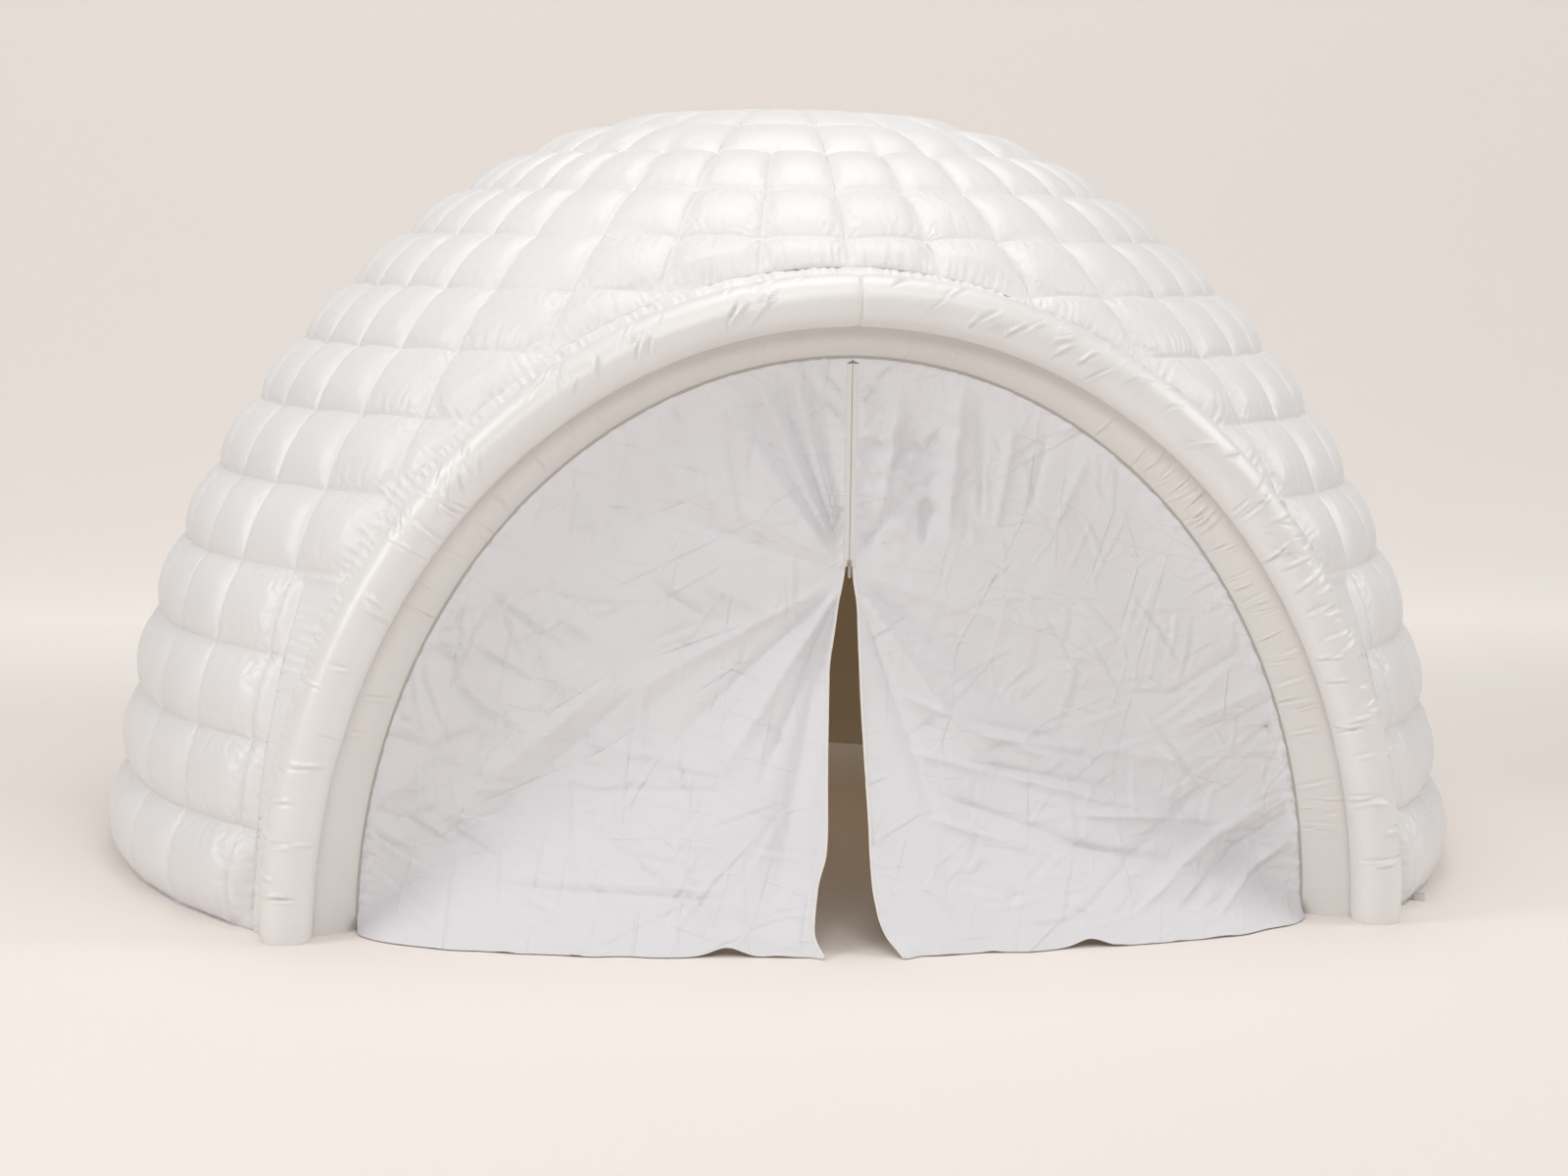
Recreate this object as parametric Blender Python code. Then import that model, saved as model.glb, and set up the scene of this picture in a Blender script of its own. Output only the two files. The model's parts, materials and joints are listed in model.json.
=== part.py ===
"""Air-blown dome tent with a quilted double wall, an arch tube round its doorway and a split curtain.

The dome's axis is upright. The doorway faces -Y. Lengths are metres.
"""
import math

import bmesh
import bpy
from mathutils import Vector

# Clearances
GAP = 0.0003

# Dome, as the surface that the wall's seams lie on
BASE_RADIUS = 2.0
DOME_RISE = 2.186
SPRING_HEIGHT = 0.12
PROFILE_POWER = 1.06
CROWN_DROP = 0.07
CROWN_REACH = 1.0
HEM_SPREAD = 0.018
HEM_RADIUS = BASE_RADIUS + HEM_SPREAD
WALL_DEPTH = 0.38
LINING_FOOT_SPREAD = 0.010
LINING_FOOT_RADIUS = BASE_RADIUS - WALL_DEPTH + LINING_FOOT_SPREAD
SKIN = 0.003

# Quilting of the outer skin
BOTTOM_ROW_HEIGHT = 0.266
LOWER_ROW_PITCH = 0.235
UPPER_ROW_PITCH = 0.222
LOWER_ROWS = 5
UPPER_ROWS = 5
FRONT_COLUMNS = 8
FRONT_COLUMN_DEG = 11.25
SIDE_COLUMN_DEG = 9.0
GORE_COLUMNS = 5
GORES_PER_SIDE = 3
PUFF_RISE = 0.034
CROWN_PUFF_RISE = 0.024
BELLY_RISE = 0.064
ROW_SEAM_RISE = 0.010
COLUMN_SEAM_RISE = 0.020
BELLY_SEAM_RISE = 0.048

# Quilting of the inner lining
LINING_ROWS = 5
LINING_GORE_COLUMNS = 3
LINING_FRONT_COLUMNS = 6
LINING_PUFF_RISE = 0.024
LINING_SEAM_RISE = 0.014

# Webs between the skins
WEB_THICKNESS = 0.003
WEB_VENT_RADIUS = 0.06
WEB_VENT_SIDES = 16
SHORT_WEB_START_ROW = 4

# Floor of the air chamber and the hem on the ground
BASE_THICKNESS = 0.003
BINDING_WIDTH = 0.016
BINDING_THICKNESS = 0.002
BINDING_EASE = 0.001

# Doorway: a plane cuts the hem and the wall, and the arch tube stands before the cut edge
DOOR_PLANE_Y = 1.2566
DOOR_CROWN_SET_BACK = 0.021
COLLAR_REACH = 0.085
ARCH_HALF_WIDTH = math.sqrt(HEM_RADIUS ** 2 - DOOR_PLANE_Y ** 2) - COLLAR_REACH
ARCH_FOOT_REACH = 0.1054
ARCH_FOOT_Y = DOOR_PLANE_Y + ARCH_FOOT_REACH
ARCH_LEAN = 0.038
ARCH_CROWN_Y = ARCH_FOOT_Y + ARCH_LEAN
TUBE_RADIUS = 0.070
TUBE_SIDES = 14
ARCH_STEPS = 22
PINCH_REACH = 0.05
PINCH_SHARE = 0.86

# Joint strip between the quilted skin and the arch tube
COLLAR_THICKNESS = 0.004
COLLAR_GATHER = 0.006

# Piping, reveal and jamb of the doorway
REVEAL_FOOT_WIDTH = 0.184
REVEAL_CROWN_WIDTH = 0.152
PIPING_HALF_WIDTH = ARCH_HALF_WIDTH - REVEAL_FOOT_WIDTH
PIPING_FOOT_SET_BACK = 0.102
PIPING_FOOT_Y = ARCH_FOOT_Y - PIPING_FOOT_SET_BACK
PIPING_CROWN_SET_BACK = 0.080
PIPING_CROWN_Y = ARCH_CROWN_Y - PIPING_CROWN_SET_BACK
PIPING_RADIUS = 0.0045
PIPING_SIDES = 6
PIPING_FLOOR_GAP = 0.004
REVEAL_THICKNESS = 0.003
REVEAL_SWELL = 0.012
JAMB_THICKNESS = 0.003

# Curtain
CLOTH = 0.002
CLOTH_FLOOR_GAP = 0.004
SEWN_EDGE_EASE = 0.0008
FOLD_GAP = 0.0006
FOLD_START_HEIGHT = 0.05
CURTAIN_SPREAD = 0.350
CURTAIN_TOE = PIPING_CROWN_Y + CURTAIN_SPREAD
CURTAIN_SIDE_SPREAD = 0.030
CURTAIN_SIDE_TOE = PIPING_FOOT_Y + CURTAIN_SIDE_SPREAD
SLIT_HEIGHT = 0.985
SLIT_TOP_HALF = 0.0152
SLIT_FOOT_LEFT = 0.085
SLIT_FOOT_RIGHT = 0.145
FOLD_DEPTH = 0.022
FOLD_COUNT = 4
UPPER_FOLD_DEPTH = 0.010
UPPER_FOLD_COUNT = 9
CURTAIN_STEPS = 22
CURTAIN_ROWS = 5
FLAP_STEPS = 18
FLAP_ROWS = 6

# Zip
COIL_GAP_HALF = 0.0008
COIL_WIDTH = 0.003
COIL_THICKNESS = 0.003
TAPE_WIDTH = 0.014
TAPE_THICKNESS = 0.0008
ZIP_TOP_GAP = 0.012
SLIDER_LENGTH = 0.018
SLIDER_PLATE = 0.0015
SLIDER_CLEARANCE = 0.0004
SLIDER_POST_HALF = 0.0005
SLIDER_HALF_WIDTH = 0.0062
SLIDER_FLANGE = 0.0012
LUG_LENGTH = 0.008
LUG_REACH = 0.0045
LUG_HALF_WIDTH = 0.0022
LUG_CHEEK = 0.0012
PULL_LENGTH = 0.034
PULL_HALF_WIDTH = 0.0045
PULL_THICKNESS = 0.0014
PULL_PIN_RADIUS = 0.0009
EDGE_TAPE_WIDTH = 0.012
EDGE_TAPE_THICKNESS = 0.0024

# Air inlet
INLET_AZIMUTH_DEG = 139.5
INLET_HEIGHT = 0.150
INLET_RADIUS = 0.105
INLET_INSET = 0.10
INLET_REACH = 0.46
INLET_SIDES = 16
TIE_WIDTH = 0.024
TIE_THICKNESS = 0.0025

# Anchor loops
LOOP_LENGTH = 0.036
LOOP_WIDTH = 0.016
LOOP_HEIGHT = 0.020
LOOP_WEBBING = 0.002
LOOP_ARC_STEPS = 6
LOOP_COLUMN_SHARE = 1.25

# Places along the wall
FRONT_EDGE_DEG = FRONT_COLUMNS / 2 * FRONT_COLUMN_DEG
GORE_DEG = GORE_COLUMNS * SIDE_COLUMN_DEG
MERIDIAN_STEPS = 600
SIDES = {"left": -1, "right": 1}

MATERIALS = {
    "satin": ((0.86, 0.84, 0.82), 0.42, 0.0),
    "lining": ((0.70, 0.66, 0.60), 0.62, 0.0),
    "cotton": ((0.80, 0.79, 0.81), 0.80, 0.0),
    "base_cloth": ((0.62, 0.60, 0.57), 0.70, 0.0),
    "piping": ((0.50, 0.47, 0.43), 0.60, 0.0),
    "webbing": ((0.84, 0.82, 0.78), 0.70, 0.0),
    "zip_tape": ((0.82, 0.78, 0.70), 0.70, 0.0),
    "zip_metal": ((0.70, 0.69, 0.66), 0.35, 1.0),
}


def clear_scene():
    for item in list(bpy.data.objects):
        bpy.data.objects.remove(item, do_unlink=True)


def make_material(name):
    colour, roughness, metallic = MATERIALS[name]
    material = bpy.data.materials.new(name)
    material.use_nodes = True
    shader = material.node_tree.nodes["Principled BSDF"]
    shader.inputs["Base Color"].default_value = (*colour, 1.0)
    shader.inputs["Roughness"].default_value = roughness
    shader.inputs["Metallic"].default_value = metallic
    return material


def material_named(name):
    return bpy.data.materials.get(name) or make_material(name)


def finish_object(name, work, material, smooth_deg=40.0):
    """Turn a bmesh into a named object of the tent."""
    bmesh.ops.recalc_face_normals(work, faces=work.faces[:])
    mesh = bpy.data.meshes.new(name)
    work.to_mesh(mesh)
    work.free()
    mesh.shade_smooth()
    mesh.set_sharp_from_angle(angle=math.radians(smooth_deg))
    mesh.materials.append(material_named(material))
    item = bpy.data.objects.new(name, mesh)
    bpy.context.collection.objects.link(item)
    item.parent = bpy.data.objects["dome_axis"]
    return item


def guide_empty(name, place, parent=None):
    """An empty that marks the dome's axis or a joint's axis."""
    empty = bpy.data.objects.new(name, None)
    empty.location = place
    bpy.context.collection.objects.link(empty)
    empty.parent = parent
    return empty


def hang_from(item, joint):
    """Give a moving piece its joint's empty as parent, with its origin there."""
    for vertex in item.data.vertices:
        vertex.co -= joint.location
    item.parent = joint


def cut_with(item, cutter):
    """Subtract a guide from a piece."""
    modifier = item.modifiers.new("cut", "BOOLEAN")
    modifier.operation = "DIFFERENCE"
    modifier.solver = "EXACT"
    modifier.object = cutter


def hide_cutter(cutter):
    cutter.hide_render = True
    cutter.display_type = "WIRE"


# Lofts: closed solids skinned over a row of like sections


def loft(name, sections, material, back_start=None, closed=False):
    """Skin a row of like closed sections and cap its ends.

    From back_start on, the quads are split along the other diagonal, so that a thin sheet's
    front and back are split alike.
    """
    work = bmesh.new()
    rings = [[work.verts.new(point) for point in section] for section in sections]
    count = len(rings[0])
    pairs = list(zip(rings, rings[1:]))
    if closed:
        pairs.append((rings[-1], rings[0]))
    for low, high in pairs:
        for i in range(count):
            j = (i + 1) % count
            if back_start is not None and back_start <= i < count - 1:
                work.faces.new((low[i], low[j], high[i]))
                work.faces.new((low[j], high[j], high[i]))
            else:
                work.faces.new((low[i], low[j], high[j]))
                work.faces.new((low[i], high[j], high[i]))
    if not closed:
        cap_ring(work, rings[0], back_start)
        cap_ring(work, rings[-1], back_start)
    return finish_object(name, work, material)


def cap_ring(work, ring, back_start):
    """Close one end: a strip between front and back for a sheet, one face for a round section."""
    if back_start is None:
        work.faces.new(ring)
        return
    count = len(ring)
    for i in range(back_start - 1):
        back = count - 1 - i
        work.faces.new((ring[i], ring[i + 1], ring[back - 1]))
        work.faces.new((ring[i], ring[back - 1], ring[back]))


def sheet_section(front, back):
    """One section of a thin sheet: its front points, then its back points the other way."""
    return list(front) + list(reversed(back))


def loft_sheet(name, fronts, backs, material):
    sections = [sheet_section(front, back) for front, back in zip(fronts, backs)]
    return loft(name, sections, material, back_start=len(fronts[0]))


def prism(name, outline, sweep, material, holes=()):
    """Extrude a flat outline along sweep, with round holes given as loops of points."""
    work = bmesh.new()
    loops = [outline, *holes]
    edges = []
    for loop in loops:
        verts = [work.verts.new(point) for point in loop]
        edges += [work.edges.new((a, b)) for a, b in zip(verts, verts[1:] + verts[:1])]
    bmesh.ops.triangle_fill(work, edges=edges, use_beauty=True)
    base = work.faces[:]
    grown = bmesh.ops.extrude_face_region(work, geom=base, use_keep_orig=True)
    moved = [item for item in grown["geom"] if isinstance(item, bmesh.types.BMVert)]
    bmesh.ops.translate(work, verts=moved, vec=sweep)
    return finish_object(name, work, material, smooth_deg=30.0)


# The wall's upright line


class Meridian:
    """The wall's upright line, from its foot over the shoulder to the crown, by its length.

    Length 0 is the seam on top of the bottom row. The bottom row is below it.
    """

    def __init__(self, depth, foot_radius):
        self.depth = depth
        turns = [math.pi / 2 * i / MERIDIAN_STEPS for i in range(MERIDIAN_STEPS + 1)]
        points = [self.dome_point(turn) for turn in turns]
        points = [point for point in points if point[1] >= BOTTOM_ROW_HEIGHT]
        first = points[0]
        foot_length = math.hypot(first[0] - foot_radius, first[1])
        self.table = [(-foot_length, foot_radius, 0.0), (0.0, *first)]
        length = 0.0
        for before, after in zip(points, points[1:]):
            length += math.dist(before, after)
            self.table.append((length, *after))
        self.foot = -foot_length
        self.top = length

    def dome_point(self, turn):
        radius = (BASE_RADIUS - self.depth) * max(0.0, math.cos(turn)) ** PROFILE_POWER
        height = SPRING_HEIGHT + (DOME_RISE - self.depth) * math.sin(turn) ** PROFILE_POWER
        reach = max(0.0, 1.0 - radius / CROWN_REACH)
        return radius, height - CROWN_DROP * reach ** 2

    def at(self, length):
        """Radius and height at a length."""
        length = min(max(length, self.foot), self.top)
        low, high = 0, len(self.table) - 1
        while high - low > 1:
            middle = (low + high) // 2
            if self.table[middle][0] <= length:
                low = middle
            else:
                high = middle
        a, b = self.table[low], self.table[high]
        share = (length - a[0]) / (b[0] - a[0])
        return a[1] + share * (b[1] - a[1]), a[2] + share * (b[2] - a[2])

    def normal(self, length):
        """Radius and height parts of the outward normal. It lies flat at the foot."""
        if length <= self.foot + SKIN:
            return 1.0, 0.0
        step = (self.top - self.foot) / MERIDIAN_STEPS
        before = self.at(length - step)
        after = self.at(length + step)
        run = math.dist(before, after)
        return (after[1] - before[1]) / run, (before[0] - after[0]) / run

    def radius_at_height(self, height):
        low, high = self.foot, self.top
        while high - low > GAP:
            middle = (low + high) / 2
            if self.at(middle)[1] < height:
                low = middle
            else:
                high = middle
        return self.at(low)[0]

    def height_at_radius(self, radius):
        low, high = 0.0, self.top
        while high - low > GAP:
            middle = (low + high) / 2
            if self.at(middle)[0] > radius:
                low = middle
            else:
                high = middle
        return self.at(low)[1]


WALL = Meridian(0.0, HEM_RADIUS)
LINING = Meridian(WALL_DEPTH, LINING_FOOT_RADIUS)

# Heights of the doorway, from where its plane meets the wall at the crown
ARCH_HEIGHT = WALL.height_at_radius(DOOR_PLANE_Y - DOOR_CROWN_SET_BACK) - COLLAR_REACH
PIPING_HEIGHT = ARCH_HEIGHT - REVEAL_CROWN_WIDTH

ROW_LENGTHS = [0.0]
for _ in range(LOWER_ROWS):
    ROW_LENGTHS.append(ROW_LENGTHS[-1] + LOWER_ROW_PITCH)
for _ in range(UPPER_ROWS):
    ROW_LENGTHS.append(ROW_LENGTHS[-1] + UPPER_ROW_PITCH)
CAP_LENGTH = ROW_LENGTHS[-1]
LINING_CAP_LENGTH = LINING.top * CAP_LENGTH / WALL.top


def around(azimuth_deg, radius, height):
    """A point at an azimuth from the doorway's direction, positive towards +X."""
    turn = math.radians(azimuth_deg)
    return Vector((radius * math.sin(turn), -radius * math.cos(turn), height))


def wall_node(meridian, azimuth_deg, length, shift=0.0):
    """A place on the wall with its outward normal. shift moves it sideways, for a seam's gap."""
    radius, height = meridian.at(length)
    flat, up = meridian.normal(length)
    turned = azimuth_deg
    if radius > GAP:
        turned += math.degrees(shift / radius)
    return around(turned, radius, height), around(azimuth_deg, flat, up)


# Quilted panels


def quilt_panel(name, nodes, cells, seam_rise, material, inward=False):
    """One closed sewn panel: a puffed face over tied corners, and a plain face behind it.

    nodes maps a key to its place and outward normal. cells are loops of keys, each with the rise
    of its puff. seam_rise gives the rise of a seam's middle. inward turns the puffs to the room.
    """
    work = bmesh.new()
    way = -1.0 if inward else 1.0
    used = {key for loop, _ in cells for key in loop}
    face = {key: work.verts.new(nodes[key][0]) for key in sorted(used)}
    back = {key: work.verts.new(nodes[key][0] - way * SKIN * nodes[key][1]) for key in sorted(used)}
    middles = {}
    counts = {}
    for loop, _ in cells:
        for a, b in zip(loop, loop[1:] + loop[:1]):
            edge = (min(a, b), max(a, b))
            counts[edge] = counts.get(edge, 0) + 1
            if edge not in middles:
                place = (nodes[a][0] + nodes[b][0]) / 2
                normal = (nodes[a][1] + nodes[b][1]).normalized()
                middles[edge] = work.verts.new(place + way * seam_rise(a, b) * normal)
    for loop, rise in cells:
        count = len(loop)
        place = sum((nodes[key][0] for key in loop), Vector()) / count
        normal = sum((nodes[key][1] for key in loop), Vector()).normalized()
        crest = work.verts.new(place + way * rise * normal)
        for a, b in zip(loop, loop[1:] + loop[:1]):
            edge = (min(a, b), max(a, b))
            work.faces.new((face[a], middles[edge], crest))
            work.faces.new((middles[edge], face[b], crest))
            if counts[edge] == 1:
                work.faces.new((middles[edge], face[a], back[a]))
                work.faces.new((middles[edge], back[a], back[b]))
                work.faces.new((middles[edge], back[b], face[b]))
        for i in range(1, count - 1):
            work.faces.new((back[loop[0]], back[loop[i + 1]], back[loop[i]]))
    return finish_object(name, work, material, smooth_deg=60.0)


def rise_at(length):
    """Rise of a puff: full on the sides, less towards the crown."""
    share = min(1.0, max(0.0, length / CAP_LENGTH))
    return PUFF_RISE + (CROWN_PUFF_RISE - PUFF_RISE) * share


def outer_seam_rise(a, b):
    if a[0] == b[0]:
        return 0.0 if a[0] == -1 else ROW_SEAM_RISE
    return BELLY_SEAM_RISE if min(a[0], b[0]) == -1 else COLUMN_SEAM_RISE


def lining_seam_rise(a, b):
    if a[0] == b[0]:
        return 0.0 if a[0] == 0 else LINING_SEAM_RISE / 2
    return LINING_SEAM_RISE


def inside_door(point, half_width, height):
    return point.y < 0 and (point.x / half_width) ** 2 + (point.z / height) ** 2 < 1.0


def outer_panel(name, azimuths, door=None):
    """A panel of the outer skin over the given column seams, from the hem to the crown cap."""
    lengths = [WALL.foot, *ROW_LENGTHS]
    nodes = {}
    for row, length in enumerate(lengths):
        reach = length - GAP / 2 if length == CAP_LENGTH else length
        for column, azimuth in enumerate(azimuths):
            shift = {0: GAP / 2, len(azimuths) - 1: -GAP / 2}.get(column, 0.0)
            nodes[(row - 1, column)] = wall_node(WALL, azimuth, reach, shift)
    cells = []
    for row in range(len(lengths) - 1):
        for column in range(len(azimuths) - 1):
            loop = [(row - 1, column), (row - 1, column + 1), (row, column + 1), (row, column)]
            if door and all(inside_door(nodes[key][0], *door) for key in loop):
                continue
            rise = BELLY_RISE if row == 0 else rise_at(lengths[row])
            cells.append((loop, rise))
    return quilt_panel(name, nodes, cells, outer_seam_rise, "satin")


def lining_panel(name, azimuths, door=None):
    """A panel of the inner lining, its puffs towards the room."""
    lengths = [LINING.foot, 0.0]
    lengths += [LINING_CAP_LENGTH * (i + 1) / LINING_ROWS for i in range(LINING_ROWS)]
    nodes = {}
    for row, length in enumerate(lengths):
        reach = length - GAP / 2 if row == len(lengths) - 1 else length
        for column, azimuth in enumerate(azimuths):
            shift = {0: GAP / 2, len(azimuths) - 1: -GAP / 2}.get(column, 0.0)
            nodes[(row, column)] = wall_node(LINING, azimuth, reach, shift)
    cells = []
    for row in range(len(lengths) - 1):
        for column in range(len(azimuths) - 1):
            loop = [(row, column), (row, column + 1), (row + 1, column + 1), (row + 1, column)]
            if door and all(inside_door(nodes[key][0], *door) for key in loop):
                continue
            cells.append((loop, LINING_PUFF_RISE))
    return quilt_panel(name, nodes, cells, lining_seam_rise, "lining", inward=True)


def crown_cap(name, meridian, edge_length, azimuths, puff, seam, material, inward=False):
    """The round panel on top: one ring of puffs at the gores' columns, then half as many."""
    count = len(azimuths)
    rings = 3
    pitch = (meridian.top - edge_length) / (rings + 1 / 2)
    nodes = {}
    for column, azimuth in enumerate(azimuths):
        nodes[(0, column)] = wall_node(meridian, azimuth, edge_length + GAP / 2)
        if column % 2 == 0:
            for ring in range(1, rings + 1):
                nodes[(ring, column)] = wall_node(meridian, azimuth, edge_length + pitch * ring)
    top = meridian.at(meridian.top)[1]
    nodes[(rings + 1, 0)] = (Vector((0.0, 0.0, top)), Vector((0.0, 0.0, 1.0)))
    cells = []
    for column in range(0, count, 2):
        after = (column + 1) % count
        last = (column + 2) % count
        cells.append(([(0, column), (0, after), (0, last), (1, last), (1, column)], puff))
        for ring in range(1, rings):
            loop = [(ring, column), (ring, last), (ring + 1, last), (ring + 1, column)]
            cells.append((loop, puff * (rings - ring) / rings))
        cells.append(([(rings, column), (rings, last), (rings + 1, 0)], 0.0))

    def rise(a, b):
        if max(a[0], b[0]) >= rings:
            return 0.0
        if a[0] == b[0]:
            return seam / 2
        return seam

    return quilt_panel(name, nodes, cells, rise, material, inward)


def gore_azimuths(side, number, columns):
    """The column seams of one gore, in rising order of azimuth."""
    start = FRONT_EDGE_DEG + GORE_DEG * number
    azimuths = [start + GORE_DEG * i / columns for i in range(columns + 1)]
    return azimuths if side > 0 else [-a for a in reversed(azimuths)]


def front_azimuths(columns):
    return [-FRONT_EDGE_DEG + 2 * FRONT_EDGE_DEG * i / columns for i in range(columns + 1)]


def all_azimuths(front_columns, gore_columns):
    azimuths = front_azimuths(front_columns)[:-1]
    for number in range(GORES_PER_SIDE):
        azimuths += gore_azimuths(1, number, gore_columns)[:-1]
    for number in reversed(range(GORES_PER_SIDE)):
        azimuths += gore_azimuths(-1, number, gore_columns)[:-1]
    return azimuths


def door_cutter(name, half_width, height, back_y):
    """A lying oval cylinder that clears the doorway through a skin."""
    work = bmesh.new()
    steps = 2 * ARCH_STEPS
    ring = []
    for i in range(2 * steps):
        turn = math.pi * i / steps
        ring.append(work.verts.new((half_width * math.cos(turn), -back_y, height * math.sin(turn))))
    base = work.faces.new(ring)
    grown = bmesh.ops.extrude_face_region(work, geom=[base], use_keep_orig=True)
    moved = [item for item in grown["geom"] if isinstance(item, bmesh.types.BMVert)]
    bmesh.ops.translate(work, verts=moved, vec=(0.0, back_y - BASE_RADIUS - WALL_DEPTH, 0.0))
    cutter = finish_object(name, work, "base_cloth")
    hide_cutter(cutter)
    return cutter


def build_outer_skin():
    door = (ARCH_HALF_WIDTH + COLLAR_REACH, ARCH_HEIGHT + COLLAR_REACH)
    cutter = door_cutter("outer_door_guide", *door, WALL_DEPTH)
    front = outer_panel("outer_front_panel", front_azimuths(FRONT_COLUMNS), door)
    cut_with(front, cutter)
    for word, side in SIDES.items():
        for number in range(GORES_PER_SIDE):
            azimuths = gore_azimuths(side, number, GORE_COLUMNS)
            gore = outer_panel(f"outer_gore_{word}_{number + 1}", azimuths)
            if number == 0:
                cut_with(gore, cutter)
            if word == "right" and number == 2:
                cut_with(gore, inlet_cutter())
    azimuths = all_azimuths(FRONT_COLUMNS, GORE_COLUMNS)
    crown_cap("outer_crown_cap", WALL, CAP_LENGTH, azimuths, CROWN_PUFF_RISE,
              COLUMN_SEAM_RISE, "satin")


def build_lining():
    reach = JAMB_THICKNESS + GAP
    door = (PIPING_HALF_WIDTH + reach, PIPING_HEIGHT + reach)
    cutter = door_cutter("lining_door_guide", *door, WALL_DEPTH / 2)
    front = lining_panel("lining_front_panel", front_azimuths(LINING_FRONT_COLUMNS), door)
    cut_with(front, cutter)
    for word, side in SIDES.items():
        for number in range(GORES_PER_SIDE):
            azimuths = gore_azimuths(side, number, LINING_GORE_COLUMNS)
            gore = lining_panel(f"lining_gore_{word}_{number + 1}", azimuths)
            if number == 0:
                cut_with(gore, cutter)
    azimuths = all_azimuths(LINING_FRONT_COLUMNS, LINING_GORE_COLUMNS)
    crown_cap("lining_crown_cap", LINING, LINING_CAP_LENGTH, azimuths, LINING_PUFF_RISE,
              LINING_SEAM_RISE, "lining", inward=True)


# Webs and floor of the air chamber


def lining_lengths():
    return [0.0] + [LINING_CAP_LENGTH * (i + 1) / LINING_ROWS for i in range(LINING_ROWS)]


def skin_line(meridian, lengths, way):
    """Radius and height of the line that a web's edge follows along a skin's back."""
    away = SKIN + GAP
    line = []
    for length in [meridian.foot, *lengths]:
        radius, height = meridian.at(length)
        flat, up = meridian.normal(length)
        line.append((radius + way * away * flat, height + way * away * up))
    return line


def cut_below(line, height):
    """The part of a line above a height, starting exactly there."""
    above = [point for point in line if point[1] > height]
    below = line[len(line) - len(above) - 1]
    share = (height - below[1]) / (above[0][1] - below[1])
    return [(below[0] + (above[0][0] - below[0]) * share, height), *above]


def web_outline(start_row):
    """Radius and height of a web's edge, from the floor or a seam up to the crown cap."""
    lowest = WALL.at(ROW_LENGTHS[start_row])[1] if start_row else BASE_THICKNESS + GAP
    outer = cut_below(skin_line(WALL, ROW_LENGTHS, -1), lowest)
    inner = cut_below(skin_line(LINING, lining_lengths(), 1), lowest)
    return outer + list(reversed(inner))


def build_web(name, azimuth, start_row):
    """A flat sheet that ties the two skins together, with round holes that let the air through."""
    outline = web_outline(start_row)
    half = around(azimuth + 90.0, WEB_THICKNESS / 2, 0.0)
    points = [around(azimuth, radius, height) - half for radius, height in outline]
    holes = []
    for length in ROW_LENGTHS[start_row + 1:-1:3]:
        outer = WALL.at(length)
        inner = LINING.at(length * LINING_CAP_LENGTH / CAP_LENGTH)
        middle = ((outer[0] + inner[0]) / 2, (outer[1] + inner[1]) / 2)
        hole = []
        for i in range(WEB_VENT_SIDES):
            turn = 2 * math.pi * i / WEB_VENT_SIDES
            radius = middle[0] + WEB_VENT_RADIUS * math.cos(turn)
            height = middle[1] + WEB_VENT_RADIUS * math.sin(turn)
            hole.append(around(azimuth, radius, height) - half)
        holes.append(hole)
    prism(name, points, half * 2, "base_cloth", holes)


def build_webs():
    rear = FRONT_EDGE_DEG + GORE_DEG * GORES_PER_SIDE
    for word, side in SIDES.items():
        build_web(f"web_front_{word}", side * FRONT_EDGE_DEG, SHORT_WEB_START_ROW)
        build_web(f"web_side_{word}", side * (FRONT_EDGE_DEG + GORE_DEG), 0)
        build_web(f"web_rear_{word}", side * (FRONT_EDGE_DEG + 2 * GORE_DEG), 0)
    build_web("web_rear_centre", rear, 0)


def right_columns(number, front_columns, gore_columns):
    """Column seams of a gore on the right, after the front panel's where it is the first gore."""
    azimuths = gore_azimuths(1, number, gore_columns)
    if number == 0:
        front = [azimuth for azimuth in front_azimuths(front_columns) if azimuth >= 0.0]
        azimuths = front[:-1] + azimuths
    return azimuths


def chord_at(x, radius, columns):
    """A place on the floor, at x, on the straight run between the column seams round it."""
    corners = [around(azimuth, radius, 0.0) for azimuth in columns]
    low = [corner for corner in corners if corner.x <= x][-1]
    high = [corner for corner in corners if corner.x > x][0]
    return low + (high - low) * ((x - low.x) / (high.x - low.x))


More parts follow.
